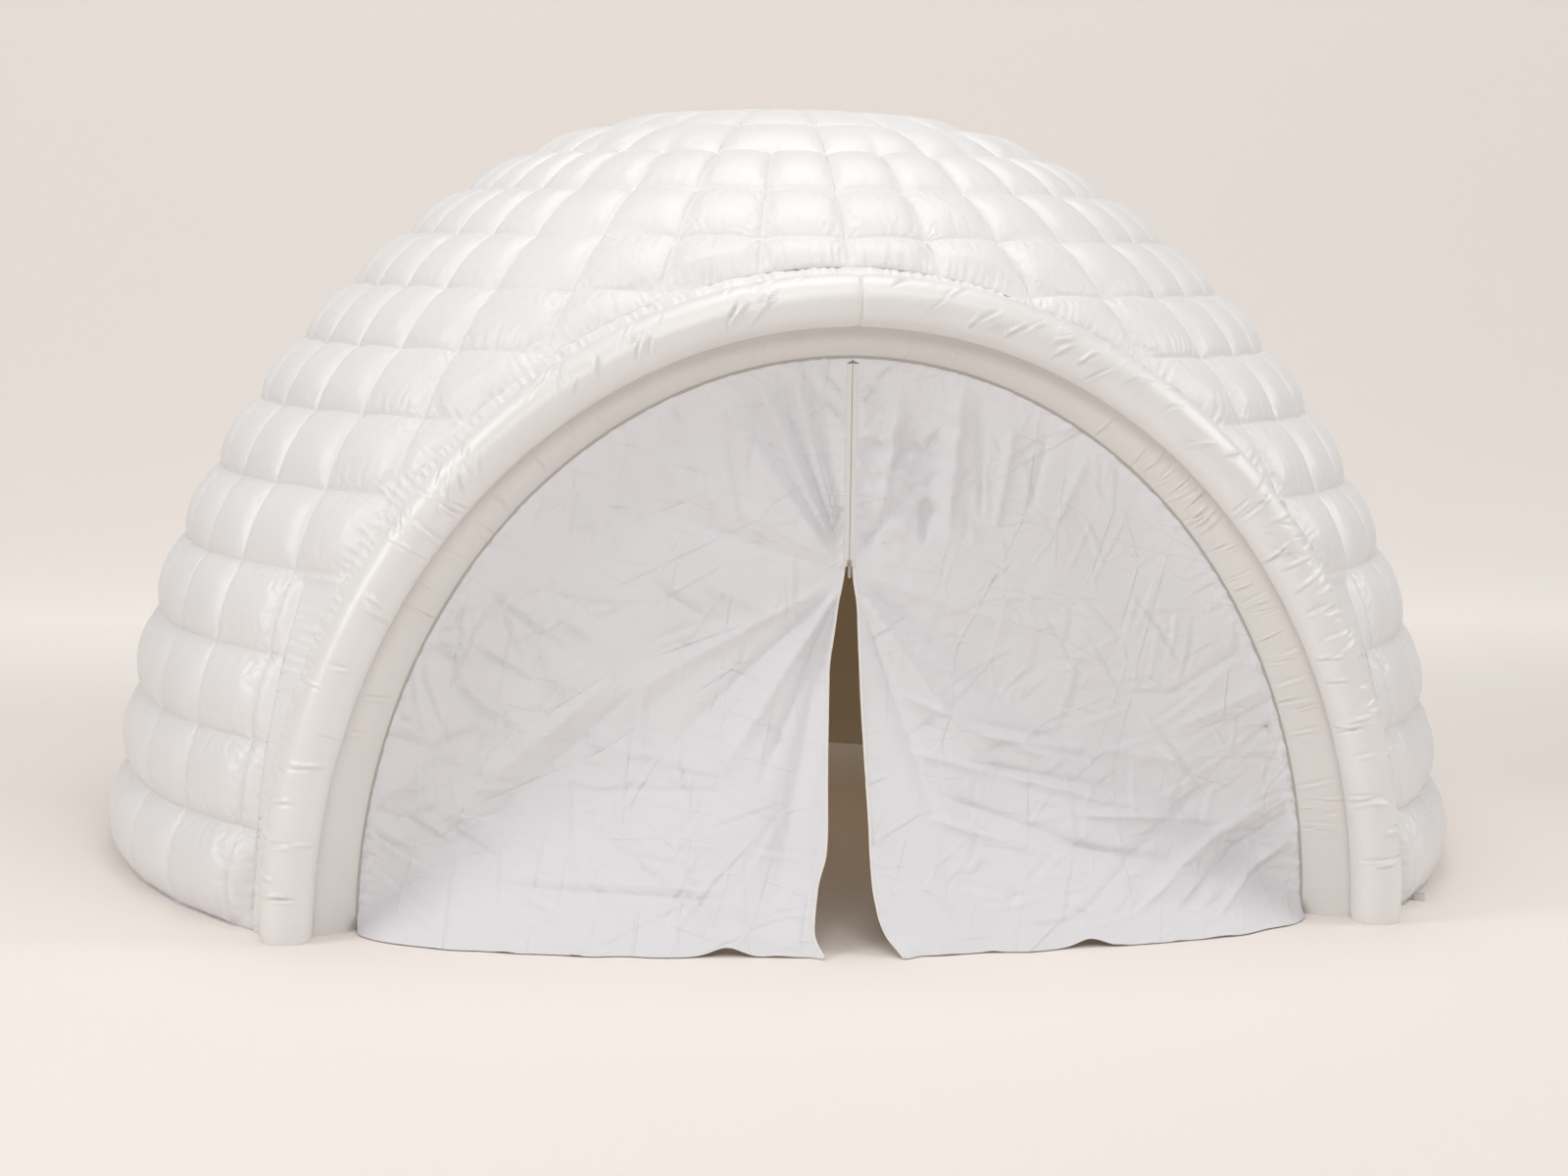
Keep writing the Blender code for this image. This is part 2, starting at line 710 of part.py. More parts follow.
def build_base_panels():
    """Flat panels that close the chamber on the floor between hem and lining."""
    outer_radius = HEM_RADIUS - SKIN - GAP
    inner_radius = LINING_FOOT_RADIUS + SKIN + GAP
    up = Vector((0.0, 0.0, BASE_THICKNESS))
    edge_x = ARCH_HALF_WIDTH + COLLAR_REACH
    jamb_x = PIPING_HALF_WIDTH + JAMB_THICKNESS + GAP
    for word, side in SIDES.items():
        for number in range(GORES_PER_SIDE):
            outer_az = right_columns(number, FRONT_COLUMNS, GORE_COLUMNS)
            inner_az = right_columns(number, LINING_FRONT_COLUMNS, LINING_GORE_COLUMNS)
            trim = math.degrees(GAP / 2 / inner_radius)
            for azimuths in (outer_az, inner_az):
                azimuths[0] += trim
                azimuths[-1] -= trim
            outline = []
            outer_points = [around(a, outer_radius, 0.0) for a in outer_az]
            inner_points = [around(a, inner_radius, 0.0) for a in inner_az]
            if number == 0:
                tube_back = TUBE_RADIUS + GAP
                jamb_front = PIPING_FOOT_Y - 3 * PIPING_RADIUS
                outline.append(Vector((jamb_x, -jamb_front, 0.0)))
                outline.append(Vector((ARCH_HALF_WIDTH - tube_back / 4, tube_back - ARCH_FOOT_Y, 0.0)))
                outer_points = [p for p in outer_points if p.x > edge_x + GAP]
                outer_points.insert(0, chord_at(edge_x + GAP, outer_radius, outer_az))
                inner_points = [p for p in inner_points if p.x > jamb_x]
                inner_points.insert(0, chord_at(jamb_x, inner_radius, inner_az))
            outline += outer_points
            outline += list(reversed(inner_points))
            if side < 0:
                outline = [Vector((-p.x, p.y, p.z)) for p in reversed(outline)]
            prism(f"base_panel_{word}_{number + 1}", outline, up, "base_cloth")


def build_hem_bindings():
    """The sewn hem that lies on the ground round the outer skin."""
    inner_radius = HEM_RADIUS + BINDING_EASE + GAP
    edge_x = ARCH_HALF_WIDTH + COLLAR_REACH
    columns = set()
    for number in range(GORES_PER_SIDE):
        columns.update(right_columns(number, FRONT_COLUMNS, GORE_COLUMNS))
    columns = sorted(columns)
    corners = [azimuth for azimuth in columns if around(azimuth, HEM_RADIUS, 0.0).x > edge_x
               or azimuth > 90.0][:-1]
    corners.append(180.0 - math.degrees(GAP / inner_radius))
    lift = Vector((0.0, 0.0, BINDING_THICKNESS))
    for word, side in SIDES.items():
        sections = []
        inner_edge = [chord_at(edge_x, inner_radius, columns)]
        outer_edge = [chord_at(edge_x, inner_radius + BINDING_WIDTH, columns)]
        inner_edge += [around(a, inner_radius, 0.0) for a in corners]
        outer_edge += [around(a, inner_radius + BINDING_WIDTH, 0.0) for a in corners]
        for inner, outer in zip(inner_edge, outer_edge):
            inner.x *= side
            outer.x *= side
            sections.append([inner, outer, outer + lift, inner + lift])
        loft(f"hem_binding_{word}", sections, "webbing")


# Arch, reveal, piping and jamb of the doorway


def arch_turns(side, steps, start=0.0):
    """Angles along one half of the arch, from its foot to the crown."""
    turns = [start + (math.pi / 2 - start) * i / steps for i in range(steps + 1)]
    return turns if side > 0 else [math.pi - turn for turn in turns]


def oval_point(turn, half_width, height, foot_y, crown_y):
    rise = math.sin(turn)
    return Vector((half_width * math.cos(turn), -foot_y - (crown_y - foot_y) * rise, height * rise))


def tube_centre(turn):
    return oval_point(turn, ARCH_HALF_WIDTH, ARCH_HEIGHT, ARCH_FOOT_Y, ARCH_CROWN_Y)


def piping_centre(turn):
    return oval_point(turn, PIPING_HALF_WIDTH, PIPING_HEIGHT, PIPING_FOOT_Y, PIPING_CROWN_Y)


def quilt_edge(turn):
    """The quilted skin's cut edge round the doorway, on the seam surface."""
    x = (ARCH_HALF_WIDTH + COLLAR_REACH) * math.cos(turn)
    z = (ARCH_HEIGHT + COLLAR_REACH) * math.sin(turn)
    radius = WALL.radius_at_height(z)
    return Vector((x, -math.sqrt(max(radius ** 2 - x ** 2, 0.0)), z))


def tube_frame(turn, side):
    """The tube's direction and two directions across it."""
    step = math.pi / 2 / ARCH_STEPS / 2
    along = (tube_centre(turn + step) - tube_centre(turn - step)).normalized() * side
    forward = Vector((0.0, -1.0, 0.0))
    across = along.cross(forward).normalized()
    return across, across.cross(along).normalized()


def crown_shift(points, side):
    """Pull a section that ends at the crown back from the middle by half a gap."""
    return [Vector((side * max(side * p.x, GAP / 2), p.y, p.z)) for p in points]


def build_arch_tubes():
    for word, side in SIDES.items():
        sections = []
        turns = arch_turns(side, ARCH_STEPS)
        for index, turn in enumerate(turns):
            centre = tube_centre(turn)
            across, forward = tube_frame(turn, side)
            near = min(1.0, centre.x * side / PINCH_REACH)
            radius = TUBE_RADIUS * (PINCH_SHARE + (1 - PINCH_SHARE) * near)
            section = []
            for i in range(TUBE_SIDES):
                angle = 2 * math.pi * i / TUBE_SIDES
                offset = across * math.cos(angle) + forward * math.sin(angle)
                point = centre + offset * radius
                if index == 0:
                    point.z = 0.0
                section.append(point)
            if index == len(turns) - 1:
                section = [Vector((side * GAP / 2, p.y, p.z)) for p in section]
            sections.append(section)
        loft(f"arch_tube_{word}", sections, "satin")


def between(a, b, share):
    return a + (b - a) * share


def build_collars():
    """The gathered strip that joins the quilted skin to the arch tube."""
    for word, side in SIDES.items():
        fronts, backs = [], []
        for index, turn in enumerate(arch_turns(side, ARCH_STEPS)):
            centre = tube_centre(turn)
            outer = quilt_edge(turn)
            reach = (outer - centre).length
            inner = between(centre, outer, (TUBE_RADIUS + GAP) / reach)
            outer = between(centre, outer, 1 - 2 * GAP / reach)
            along, _ = tube_frame(turn, side)
            step = (quilt_edge(turn + GAP) - quilt_edge(turn - GAP)).normalized() * side
            back = (outer - inner).cross(step).normalized() * side
            if back.dot(outer + along) > 0 and back.y < 0:
                back.negate()
            if index == 0:
                back.z = 0.0
                back.normalize()
            middle = (inner + outer) / 2 - back * COLLAR_GATHER
            front = [inner, middle, outer]
            fronts.append(crown_shift(front, side))
            backs.append(crown_shift([p + back * COLLAR_THICKNESS for p in front], side))
        loft_sheet(f"collar_{word}", fronts, backs, "satin")


def build_reveals():
    """The plain band between the arch tube and the piping."""
    for word, side in SIDES.items():
        fronts, backs = [], []
        for index, turn in enumerate(arch_turns(side, ARCH_STEPS)):
            centre = tube_centre(turn)
            edge = piping_centre(turn)
            reach = (edge - centre).length
            outer = between(centre, edge, (TUBE_RADIUS + GAP) / reach)
            inner = between(centre, edge, 1 - (PIPING_RADIUS + GAP) / reach)
            across, _ = tube_frame(turn, side)
            along = (tube_centre(turn + GAP) - tube_centre(turn - GAP)).normalized() * side
            back = along.cross(inner - outer).normalized()
            if back.y < 0:
                back.negate()
            if index == 0:
                back.z = 0.0
                back.normalize()
            front = [outer, (outer + inner) / 2 - back * REVEAL_SWELL, inner]
            fronts.append(crown_shift(front, side))
            backs.append(crown_shift([p + back * REVEAL_THICKNESS for p in front], side))
        loft_sheet(f"reveal_band_{word}", fronts, backs, "satin")


def build_pipings():
    """The thin corded edge that the curtain hangs from."""
    start = math.asin(PIPING_FLOOR_GAP / PIPING_HEIGHT)
    for word, side in SIDES.items():
        sections = []
        turns = arch_turns(side, ARCH_STEPS, start)
        for index, turn in enumerate(turns):
            centre = piping_centre(turn)
            across, forward = tube_frame(turn, side)
            section = []
            for i in range(PIPING_SIDES):
                angle = 2 * math.pi * (i + 1 / 2) / PIPING_SIDES
                spoke = across * math.cos(angle) + forward * math.sin(angle)
                section.append(centre + spoke * PIPING_RADIUS)
            if index == len(turns) - 1:
                section = [Vector((side * GAP / 2, p.y, p.z)) for p in section]
            sections.append(section)
        loft(f"door_piping_{word}", sections, "piping")


def build_jambs():
    """The lining of the doorway, from the piping back to the inner lining."""
    for word, side in SIDES.items():
        fronts, backs = [], []
        for turn in arch_turns(side, ARCH_STEPS):
            edge = piping_centre(turn)
            edge.y += PIPING_RADIUS + GAP
            radius = LINING.radius_at_height(edge.z)
            deep = -math.sqrt(max(radius ** 2 - edge.x ** 2, 0.0))
            rear = Vector((edge.x, deep, edge.z))
            out = Vector((edge.x / PIPING_HALF_WIDTH ** 2, 0.0, edge.z / PIPING_HEIGHT ** 2))
            out.normalize()
            row = [edge, (edge + rear) / 2, rear]
            fronts.append(crown_shift(row, side))
            backs.append(crown_shift([p + out * JAMB_THICKNESS for p in row], side))
        loft_sheet(f"jamb_lining_{word}", fronts, backs, "lining")


# Curtain


def slit_top(side):
    return Vector((side * SLIT_TOP_HALF, -PIPING_CROWN_Y, SLIT_HEIGHT))


def fold_foot_turn():
    return math.asin(FOLD_START_HEIGHT / PIPING_HEIGHT)


def hanging_edge(turn):
    """The curtain's sewn edge, just inside the piping."""
    inset = PIPING_RADIUS + GAP + SEWN_EDGE_EASE
    edge = oval_point(turn, PIPING_HALF_WIDTH - inset, PIPING_HEIGHT - inset,
                      PIPING_FOOT_Y, PIPING_CROWN_Y)
    return edge


def fold_line(side, share):
    """The straight line from the slit's top to the foot of the piping, where a flap folds out."""
    turn = fold_foot_turn()
    foot = hanging_edge(turn if side > 0 else math.pi - turn)
    return between(slit_top(side), foot, share)


def fold_share(side, run):
    """How far along the fold line a sideways run reaches, from 0 to 1."""
    return abs(run / (fold_line(side, 1.0).x - slit_top(side).x))


def fold_direction(side):
    return (fold_line(side, 1.0) - fold_line(side, 0.0)).normalized()


def below_fold(side):
    """The direction across the fold line, down the flap."""
    along = fold_direction(side)
    down = Vector((0.0, 0.0, -1.0))
    return (down - along * down.dot(along)).normalized()


def floor_edge(side, share):
    """The flap's lower edge on the ground, from the slit to the piping's foot."""
    slit = SLIT_FOOT_RIGHT if side > 0 else SLIT_FOOT_LEFT
    foot = fold_line(side, 1.0)
    x = slit + (abs(foot.x) - slit) * share
    bow = math.sqrt(max(0.0, 1.0 - (x / PIPING_HALF_WIDTH) ** 2))
    y = CURTAIN_SIDE_TOE + (CURTAIN_TOE - FOLD_DEPTH - CURTAIN_SIDE_TOE) * bow
    return Vector((side * x, -y, CLOTH_FLOOR_GAP))


def build_curtain_uppers():
    """The fixed part of each half: from the piping to the zip and the fold line."""
    for word, side in SIDES.items():
        start = math.acos((SLIT_TOP_HALF + GAP) / PIPING_HALF_WIDTH)
        end = fold_foot_turn()
        top = hanging_edge(start if side > 0 else math.pi - start)
        zip_run = top.z - SLIT_HEIGHT
        fold_run = (fold_line(side, 1.0) - fold_line(side, 0.0)).length
        turn_at = zip_run / (zip_run + fold_run)
        fronts, backs = [], []
        away = below_fold(side) * (FOLD_GAP / 2)
        count = CURTAIN_STEPS
        corner = round(count * turn_at)
        for i in range(count + 1):
            if i <= corner:
                share = turn_at * i / corner
            else:
                share = turn_at + (1 - turn_at) * (i - corner) / (count - corner)
            share = min(max(share, 1 / (6 * count)), 1 - 1 / (6 * count))
            turn = start + (end - start) * share ** (3 / 4)
            edge = hanging_edge(turn if side > 0 else math.pi - turn)
            if i <= corner:
                inner = Vector((side * (SLIT_TOP_HALF + GAP), -PIPING_CROWN_Y,
                                top.z - zip_run * share / turn_at))
            else:
                inner = fold_line(side, (share - turn_at) / (1 - turn_at))
            if i >= corner:
                inner = inner - away
            wave = math.sin(2 * math.pi * UPPER_FOLD_COUNT * share)
            front = []
            for row in range(CURTAIN_ROWS + 1):
                across = row / CURTAIN_ROWS
                point = between(edge, inner, across)
                short = min(1.0, (edge - inner).length)
                point.y -= UPPER_FOLD_DEPTH * wave * math.sin(math.pi * across) * short
                front.append(point)
            fronts.append(front)
            backs.append([p + Vector((0.0, CLOTH, 0.0)) for p in front])
        loft_sheet(f"curtain_{word}_upper", fronts, backs, "cotton")


def slit_point(side, down):
    """The flap's free edge beside the slit. down runs from 0 at the zip to 1 on the ground."""
    top = slit_top(side) + below_fold(side) * (FOLD_GAP / 2)
    foot = floor_edge(side, 0.0)
    point = between(top, foot, down)
    point.x = top.x + (foot.x - top.x) * down ** 2
    point.y = top.y + (foot.y - top.y) * down ** (3 / 2)
    return point


def build_flaps():
    """The loose part of each half, with the bound edge beside the slit."""
    joints = {}
    for word, side in SIDES.items():
        joints[word] = guide_empty(f"flap_{word}_axis", slit_top(side), bpy.data.objects["dome_axis"])
        fronts, backs = [], []
        trim = Vector((side * (EDGE_TAPE_WIDTH + GAP), 0.0, 0.0))
        away = below_fold(side) * (FOLD_GAP / 2)
        first = EDGE_TAPE_WIDTH / (PIPING_HALF_WIDTH - SLIT_TOP_HALF) * 2
        for i in range(FLAP_STEPS + 1):
            share = first + (1 - first) * i / FLAP_STEPS * (1 - 1 / (8 * FLAP_STEPS))
            top = fold_line(side, share) + away
            foot = floor_edge(side, share)
            wave = math.sin(2 * math.pi * FOLD_COUNT * share) * math.sin(math.pi * share) ** (1 / 2)
            front = []
            for row in range(FLAP_ROWS + 1):
                down = row / FLAP_ROWS
                point = between(top, foot, down)
                point.y = top.y + (foot.y - top.y) * down ** (3 / 2) - FOLD_DEPTH * wave * down ** 2
                if i == 0:
                    edge = slit_point(side, down) + trim
                    point = Vector((edge.x, edge.y, edge.z if row else point.z))
                    if row == 0:
                        point = fold_line(side, fold_share(side, edge.x - slit_top(side).x)) + away
                front.append(point)
            fronts.append(front)
            backs.append([p + Vector((0.0, CLOTH, 0.0)) for p in front])
        flap = loft_sheet(f"curtain_{word}_flap", fronts, backs, "cotton")
        hang_from(flap, joints[word])
        sections = []
        for row in range(2 * FLAP_ROWS + 1):
            down = row / (2 * FLAP_ROWS)
            edge = slit_point(side, down)
            outer = edge + Vector((side * EDGE_TAPE_WIDTH, 0.0, 0.0))
            if row == 0:
                reach = fold_share(side, EDGE_TAPE_WIDTH)
                outer.z = (fold_line(side, reach) + away).z
            thick = Vector((0.0, EDGE_TAPE_THICKNESS, 0.0))
            sections.append([edge, outer, outer + thick, edge + thick])
        tape = loft(f"slit_edge_{word}", sections, "zip_tape")
        hang_from(tape, joints[word])


# Zip


def build_zip():
    inset = PIPING_RADIUS + GAP
    top = PIPING_HEIGHT - inset - ZIP_TOP_GAP
    sweep = Vector((0.0, 0.0, top - SLIT_HEIGHT))
    coil_in = COIL_GAP_HALF
    coil_out = COIL_GAP_HALF + COIL_WIDTH
    tape_out = COIL_GAP_HALF + TAPE_WIDTH
    coil_y = COIL_THICKNESS / 2
    tape_y = TAPE_THICKNESS / 2
    for word, side in SIDES.items():
        outline = [(coil_in, -coil_y), (coil_out, -coil_y), (coil_out, -tape_y), (tape_out, -tape_y),
                   (tape_out, tape_y), (coil_out, tape_y), (coil_out, coil_y), (coil_in, coil_y)]
        points = [Vector((side * x, y - PIPING_CROWN_Y, SLIT_HEIGHT)) for x, y in outline]
        prism(f"zip_half_{word}", points, sweep, "zip_tape")
    stop_half = coil_out
    stop_y = coil_y
    stop_low = top + GAP
    outline = [(-stop_half, -stop_y), (stop_half, -stop_y), (stop_half, stop_y), (-stop_half, stop_y)]
    points = [Vector((x, y - PIPING_CROWN_Y, stop_low)) for x, y in outline]
    prism("zip_top_stop", points, Vector((0.0, 0.0, ZIP_TOP_GAP / 3)), "zip_metal")


def slider_outline():
    """Half of the slider's section: post, plates and turned flanges."""
    plate_in = COIL_THICKNESS / 2 + SLIDER_CLEARANCE
    plate_out = plate_in + SLIDER_PLATE
    flange_in = SLIDER_HALF_WIDTH - SLIDER_FLANGE
    slot = TAPE_THICKNESS / 2 + SLIDER_CLEARANCE
    return [(SLIDER_POST_HALF, plate_in), (flange_in, plate_in), (flange_in, slot),
            (SLIDER_HALF_WIDTH, slot), (SLIDER_HALF_WIDTH, plate_out)]


def build_slider():
    quarter = slider_outline()
    right = [(x, -y) for x, y in reversed(quarter)] + quarter
    outline = right + [(-x, -y) for x, y in right]
    slider_axis = guide_empty("slider_axis", Vector((0.0, -PIPING_CROWN_Y, SLIT_HEIGHT)),
                              bpy.data.objects["dome_axis"])
    low = SLIT_HEIGHT
    points = [Vector((x, y - PIPING_CROWN_Y, low)) for x, y in outline]
    body = prism("zip_slider", points, Vector((0.0, 0.0, SLIDER_LENGTH)), "zip_metal")
    hang_from(body, slider_axis)
    face_y = -PIPING_CROWN_Y - COIL_THICKNESS / 2 - SLIDER_CLEARANCE - SLIDER_PLATE
    pin_z = low + SLIDER_LENGTH / 2
    pin_y = face_y - LUG_REACH + LUG_CHEEK + PULL_PIN_RADIUS
    build_lug(face_y, pin_y, pin_z, slider_axis)
    build_pull(pin_y, pin_z)


def build_lug(face_y, pin_y, pin_z, slider_axis):
    """The bridge on the slider's face that the pull hangs from: two cheeks and a pin."""
    work = bmesh.new()
    seat = face_y - GAP
    half_length = LUG_LENGTH / 2
    for side in SIDES.values():
        inner = side * (LUG_HALF_WIDTH - LUG_CHEEK)
        outer = side * LUG_HALF_WIDTH
        profile = [(seat, -half_length), (seat, half_length),
                   (face_y - LUG_REACH, half_length / 2), (face_y - LUG_REACH, -half_length / 2)]
        faces = [[work.verts.new((x, y, pin_z + z)) for y, z in profile] for x in (inner, outer)]
        work.faces.new(faces[0])
        work.faces.new(list(reversed(faces[1])))
        for i in range(len(profile)):
            j = (i + 1) % len(profile)
            work.faces.new((faces[0][i], faces[1][i], faces[1][j], faces[0][j]))
    bmesh.ops.recalc_face_normals(work, faces=work.faces[:])
    lug = finish_object("slider_lug", work, "zip_metal")
    work = bmesh.new()
    rings = []
    for x in (LUG_CHEEK / 2 - LUG_HALF_WIDTH, LUG_HALF_WIDTH - LUG_CHEEK / 2):
        ring = []
        for i in range(2 * LOOP_ARC_STEPS):
            turn = math.pi * i / LOOP_ARC_STEPS
            ring.append(work.verts.new((x, pin_y + PULL_PIN_RADIUS * math.cos(turn),
                                        pin_z + PULL_PIN_RADIUS * math.sin(turn))))
        rings.append(ring)
    work.faces.new(rings[0])
    work.faces.new(rings[1])
    for i in range(len(rings[0])):
        j = (i + 1) % len(rings[0])
        work.faces.new((rings[0][i], rings[1][i], rings[1][j], rings[0][j]))
    pin = finish_object("lug_pin_guide", work, "zip_metal")
    hide_cutter(pin)
    union = lug.modifiers.new("pin", "BOOLEAN")
    union.operation = "UNION"
    union.solver = "EXACT"
    union.object = pin
    hang_from(lug, slider_axis)


def build_pull(pin_y, pin_z):
    """The flat pull that swings on the lug's pin."""
    pull_axis = guide_empty("pull_axis", Vector((0.0, pin_y, pin_z)), bpy.data.objects["dome_axis"])
    neck_half = LUG_HALF_WIDTH - LUG_CHEEK - GAP
    eye = PULL_PIN_RADIUS + GAP
    rim = eye + PULL_THICKNESS / 2
    outline = []
    for i in range(LOOP_ARC_STEPS + 1):
        turn = math.pi * i / LOOP_ARC_STEPS
        outline.append(Vector((-neck_half, pin_y + rim * math.cos(turn), pin_z + rim * math.sin(turn))))
    stem = pin_z - rim - LUG_LENGTH / 2
    outline.append(Vector((-neck_half, pin_y - rim, stem)))
    outline.append(Vector((-neck_half, pin_y + rim, stem)))
    hole = []
    for i in range(2 * LOOP_ARC_STEPS):
        turn = math.pi * i / LOOP_ARC_STEPS
        hole.append(Vector((-neck_half, pin_y + eye * math.cos(turn), pin_z + eye * math.sin(turn))))
    neck = prism("slider_pull", outline, Vector((2 * neck_half, 0.0, 0.0)), "zip_metal", [hole])
    low = stem - PULL_LENGTH
    blade = [(-neck_half, stem + GAP), (-PULL_HALF_WIDTH, stem - PULL_HALF_WIDTH),
             (-PULL_HALF_WIDTH, low + PULL_HALF_WIDTH / 2), (-PULL_HALF_WIDTH / 2, low),
             (PULL_HALF_WIDTH / 2, low), (PULL_HALF_WIDTH, low + PULL_HALF_WIDTH / 2),
             (PULL_HALF_WIDTH, stem - PULL_HALF_WIDTH), (neck_half, stem + GAP)]
    points = [Vector((x, pin_y - rim / 2, z)) for x, z in blade]
    plate = prism("pull_blade_guide", points, Vector((0.0, rim, 0.0)), "zip_metal")
    hide_cutter(plate)
    union = neck.modifiers.new("blade", "BOOLEAN")
    union.operation = "UNION"
    union.solver = "EXACT"
    union.object = plate
    hang_from(neck, pull_axis)


# Air inlet and anchor loops


INLET_STATION_SHARES = [(0.0, 1.0, 1.0), (0.36, 1.0, 1.0), (0.54, 0.9, 0.72), (0.70, 0.5, 0.36),
                        (0.80, 0.22, 0.2), (0.86, 0.24, 0.2), (0.94, 0.56, 0.24), (1.0, 0.7, 0.2)]


def inlet_axis():
    outward = around(INLET_AZIMUTH_DEG, 1.0, 0.0)
    sideways = around(INLET_AZIMUTH_DEG + 90.0, 1.0, 0.0)
    return outward, sideways


def inlet_cutter():
    outward, sideways = inlet_axis()
    work = bmesh.new()
    rings = []
    for radius in (HEM_RADIUS - WALL_DEPTH / 2, HEM_RADIUS + WALL_DEPTH / 2):
        ring = []
        for i in range(INLET_SIDES):
            turn = 2 * math.pi * i / INLET_SIDES
            size = INLET_RADIUS + GAP
            point = outward * radius + sideways * size * math.cos(turn)
            point.z = INLET_HEIGHT + size * math.sin(turn)
            ring.append(work.verts.new(point))
        rings.append(ring)
    work.faces.new(rings[0])
    work.faces.new(rings[1])
    for i in range(INLET_SIDES):
        j = (i + 1) % INLET_SIDES
        work.faces.new((rings[0][i], rings[0][j], rings[1][j], rings[1][i]))
    cutter = finish_object("inlet_hole_guide", work, "base_cloth")
    hide_cutter(cutter)
    return cutter


def inlet_section(share, wide, tall, grow=0.0):
    """A section of the sleeve, sinking to the ground as it narrows."""
    outward, sideways = inlet_axis()
    run = HEM_RADIUS - INLET_INSET + (INLET_REACH + INLET_INSET) * share
    flat = INLET_RADIUS * wide + grow
    high = INLET_RADIUS * tall + grow
    centre_z = INLET_HEIGHT if tall == 1.0 else max(high + GAP, INLET_HEIGHT * tall)
    section = []
    for i in range(INLET_SIDES):
        turn = 2 * math.pi * i / INLET_SIDES
        point = outward * run + sideways * flat * math.cos(turn)
        point.z = centre_z + high * math.sin(turn)
        section.append(point)
    return section


def build_inlet():
    sections = [inlet_section(*row) for row in INLET_STATION_SHARES]
    loft("inlet_sleeve", sections, "satin")
    _, wide, tall = INLET_STATION_SHARES[4]
    outward, sideways = inlet_axis()
    neck = (INLET_STATION_SHARES[4][0] + INLET_STATION_SHARES[5][0]) / 2
    run = HEM_RADIUS - INLET_INSET + (INLET_REACH + INLET_INSET) * neck
    centre_z = INLET_HEIGHT * tall
    rings = []
    for sweep, grow in ((-1, GAP), (1, GAP), (1, TIE_THICKNESS), (-1, TIE_THICKNESS)):
        ring = []
        for i in range(INLET_SIDES):
            turn = 2 * math.pi * i / INLET_SIDES
            size_x = INLET_RADIUS * INLET_STATION_SHARES[5][1] + grow
            size_z = INLET_RADIUS * tall + grow
            point = outward * (run + sweep * TIE_WIDTH / 2) + sideways * size_x * math.cos(turn)
            point.z = centre_z + size_z * math.sin(turn)
            ring.append(point)
        rings.append(ring)
    loft("sleeve_tie", rings, "webbing", closed=True)


def build_loops():
    """Webbing loops on the hem: one beside the doorway's right foot and two at the back."""
    rear = FRONT_EDGE_DEG + 2 * GORE_DEG
    half_column = math.radians(SIDE_COLUMN_DEG / 2)
    places = {"front_right": FRONT_EDGE_DEG + LOOP_COLUMN_SHARE * SIDE_COLUMN_DEG,
              "rear_left": -rear, "rear_right": rear}
    for word, azimuth in places.items():
        outward = around(azimuth, 1.0, 0.0)
        sideways = around(azimuth + 90.0, 1.0, 0.0)
        past = math.radians(abs(azimuth) - FRONT_EDGE_DEG) % (2 * half_column)
        start = HEM_RADIUS + BINDING_EASE + BINDING_WIDTH + GAP
        start = start * math.cos(half_column) / math.cos(past - half_column) + GAP

        def rounded(length, half_width):
            points = []
            for sign in (1, -1):
                middle = start + LOOP_LENGTH / 2 + sign * (length / 2 - half_width)
                for i in range(LOOP_ARC_STEPS + 1):
                    turn = math.pi * (i / LOOP_ARC_STEPS - sign / 2)
                    reach = middle + half_width * math.cos(turn)
                    points.append(outward * reach + sideways * half_width * math.sin(turn))
            return points

        outline = rounded(LOOP_LENGTH, LOOP_WIDTH / 2)
        hole = rounded(LOOP_LENGTH - 2 * LOOP_WEBBING, LOOP_WIDTH / 2 - LOOP_WEBBING)
        prism(f"anchor_loop_{word}", outline, Vector((0.0, 0.0, LOOP_HEIGHT)), "webbing", [hole])


def centre_footprint(dome_axis):
    """Stand the tent so that the origin is under the middle of its box."""
    reaches = []
    for item in bpy.data.objects:
        if item.type == "MESH" and not item.hide_render:
            offset = item.parent.location.y if item.parent != dome_axis else 0.0
            reaches += [vertex.co.y + offset for vertex in item.data.vertices]
    dome_axis.location.y = -(min(reaches) + max(reaches)) / 2


def main():
    clear_scene()
    dome_axis = guide_empty("dome_axis", Vector())
    build_outer_skin()
    build_lining()
    build_webs()
    build_base_panels()
    build_hem_bindings()
    build_arch_tubes()
    build_collars()
    build_reveals()
    build_pipings()
    build_jambs()
    build_curtain_uppers()
    build_flaps()
    build_zip()
    build_slider()
    build_inlet()
    build_loops()
    centre_footprint(dome_axis)


main()
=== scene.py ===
import contextlib
import json
import math
import random

import bmesh
import bpy
import numpy as np
from mathutils import Matrix, Vector, noise


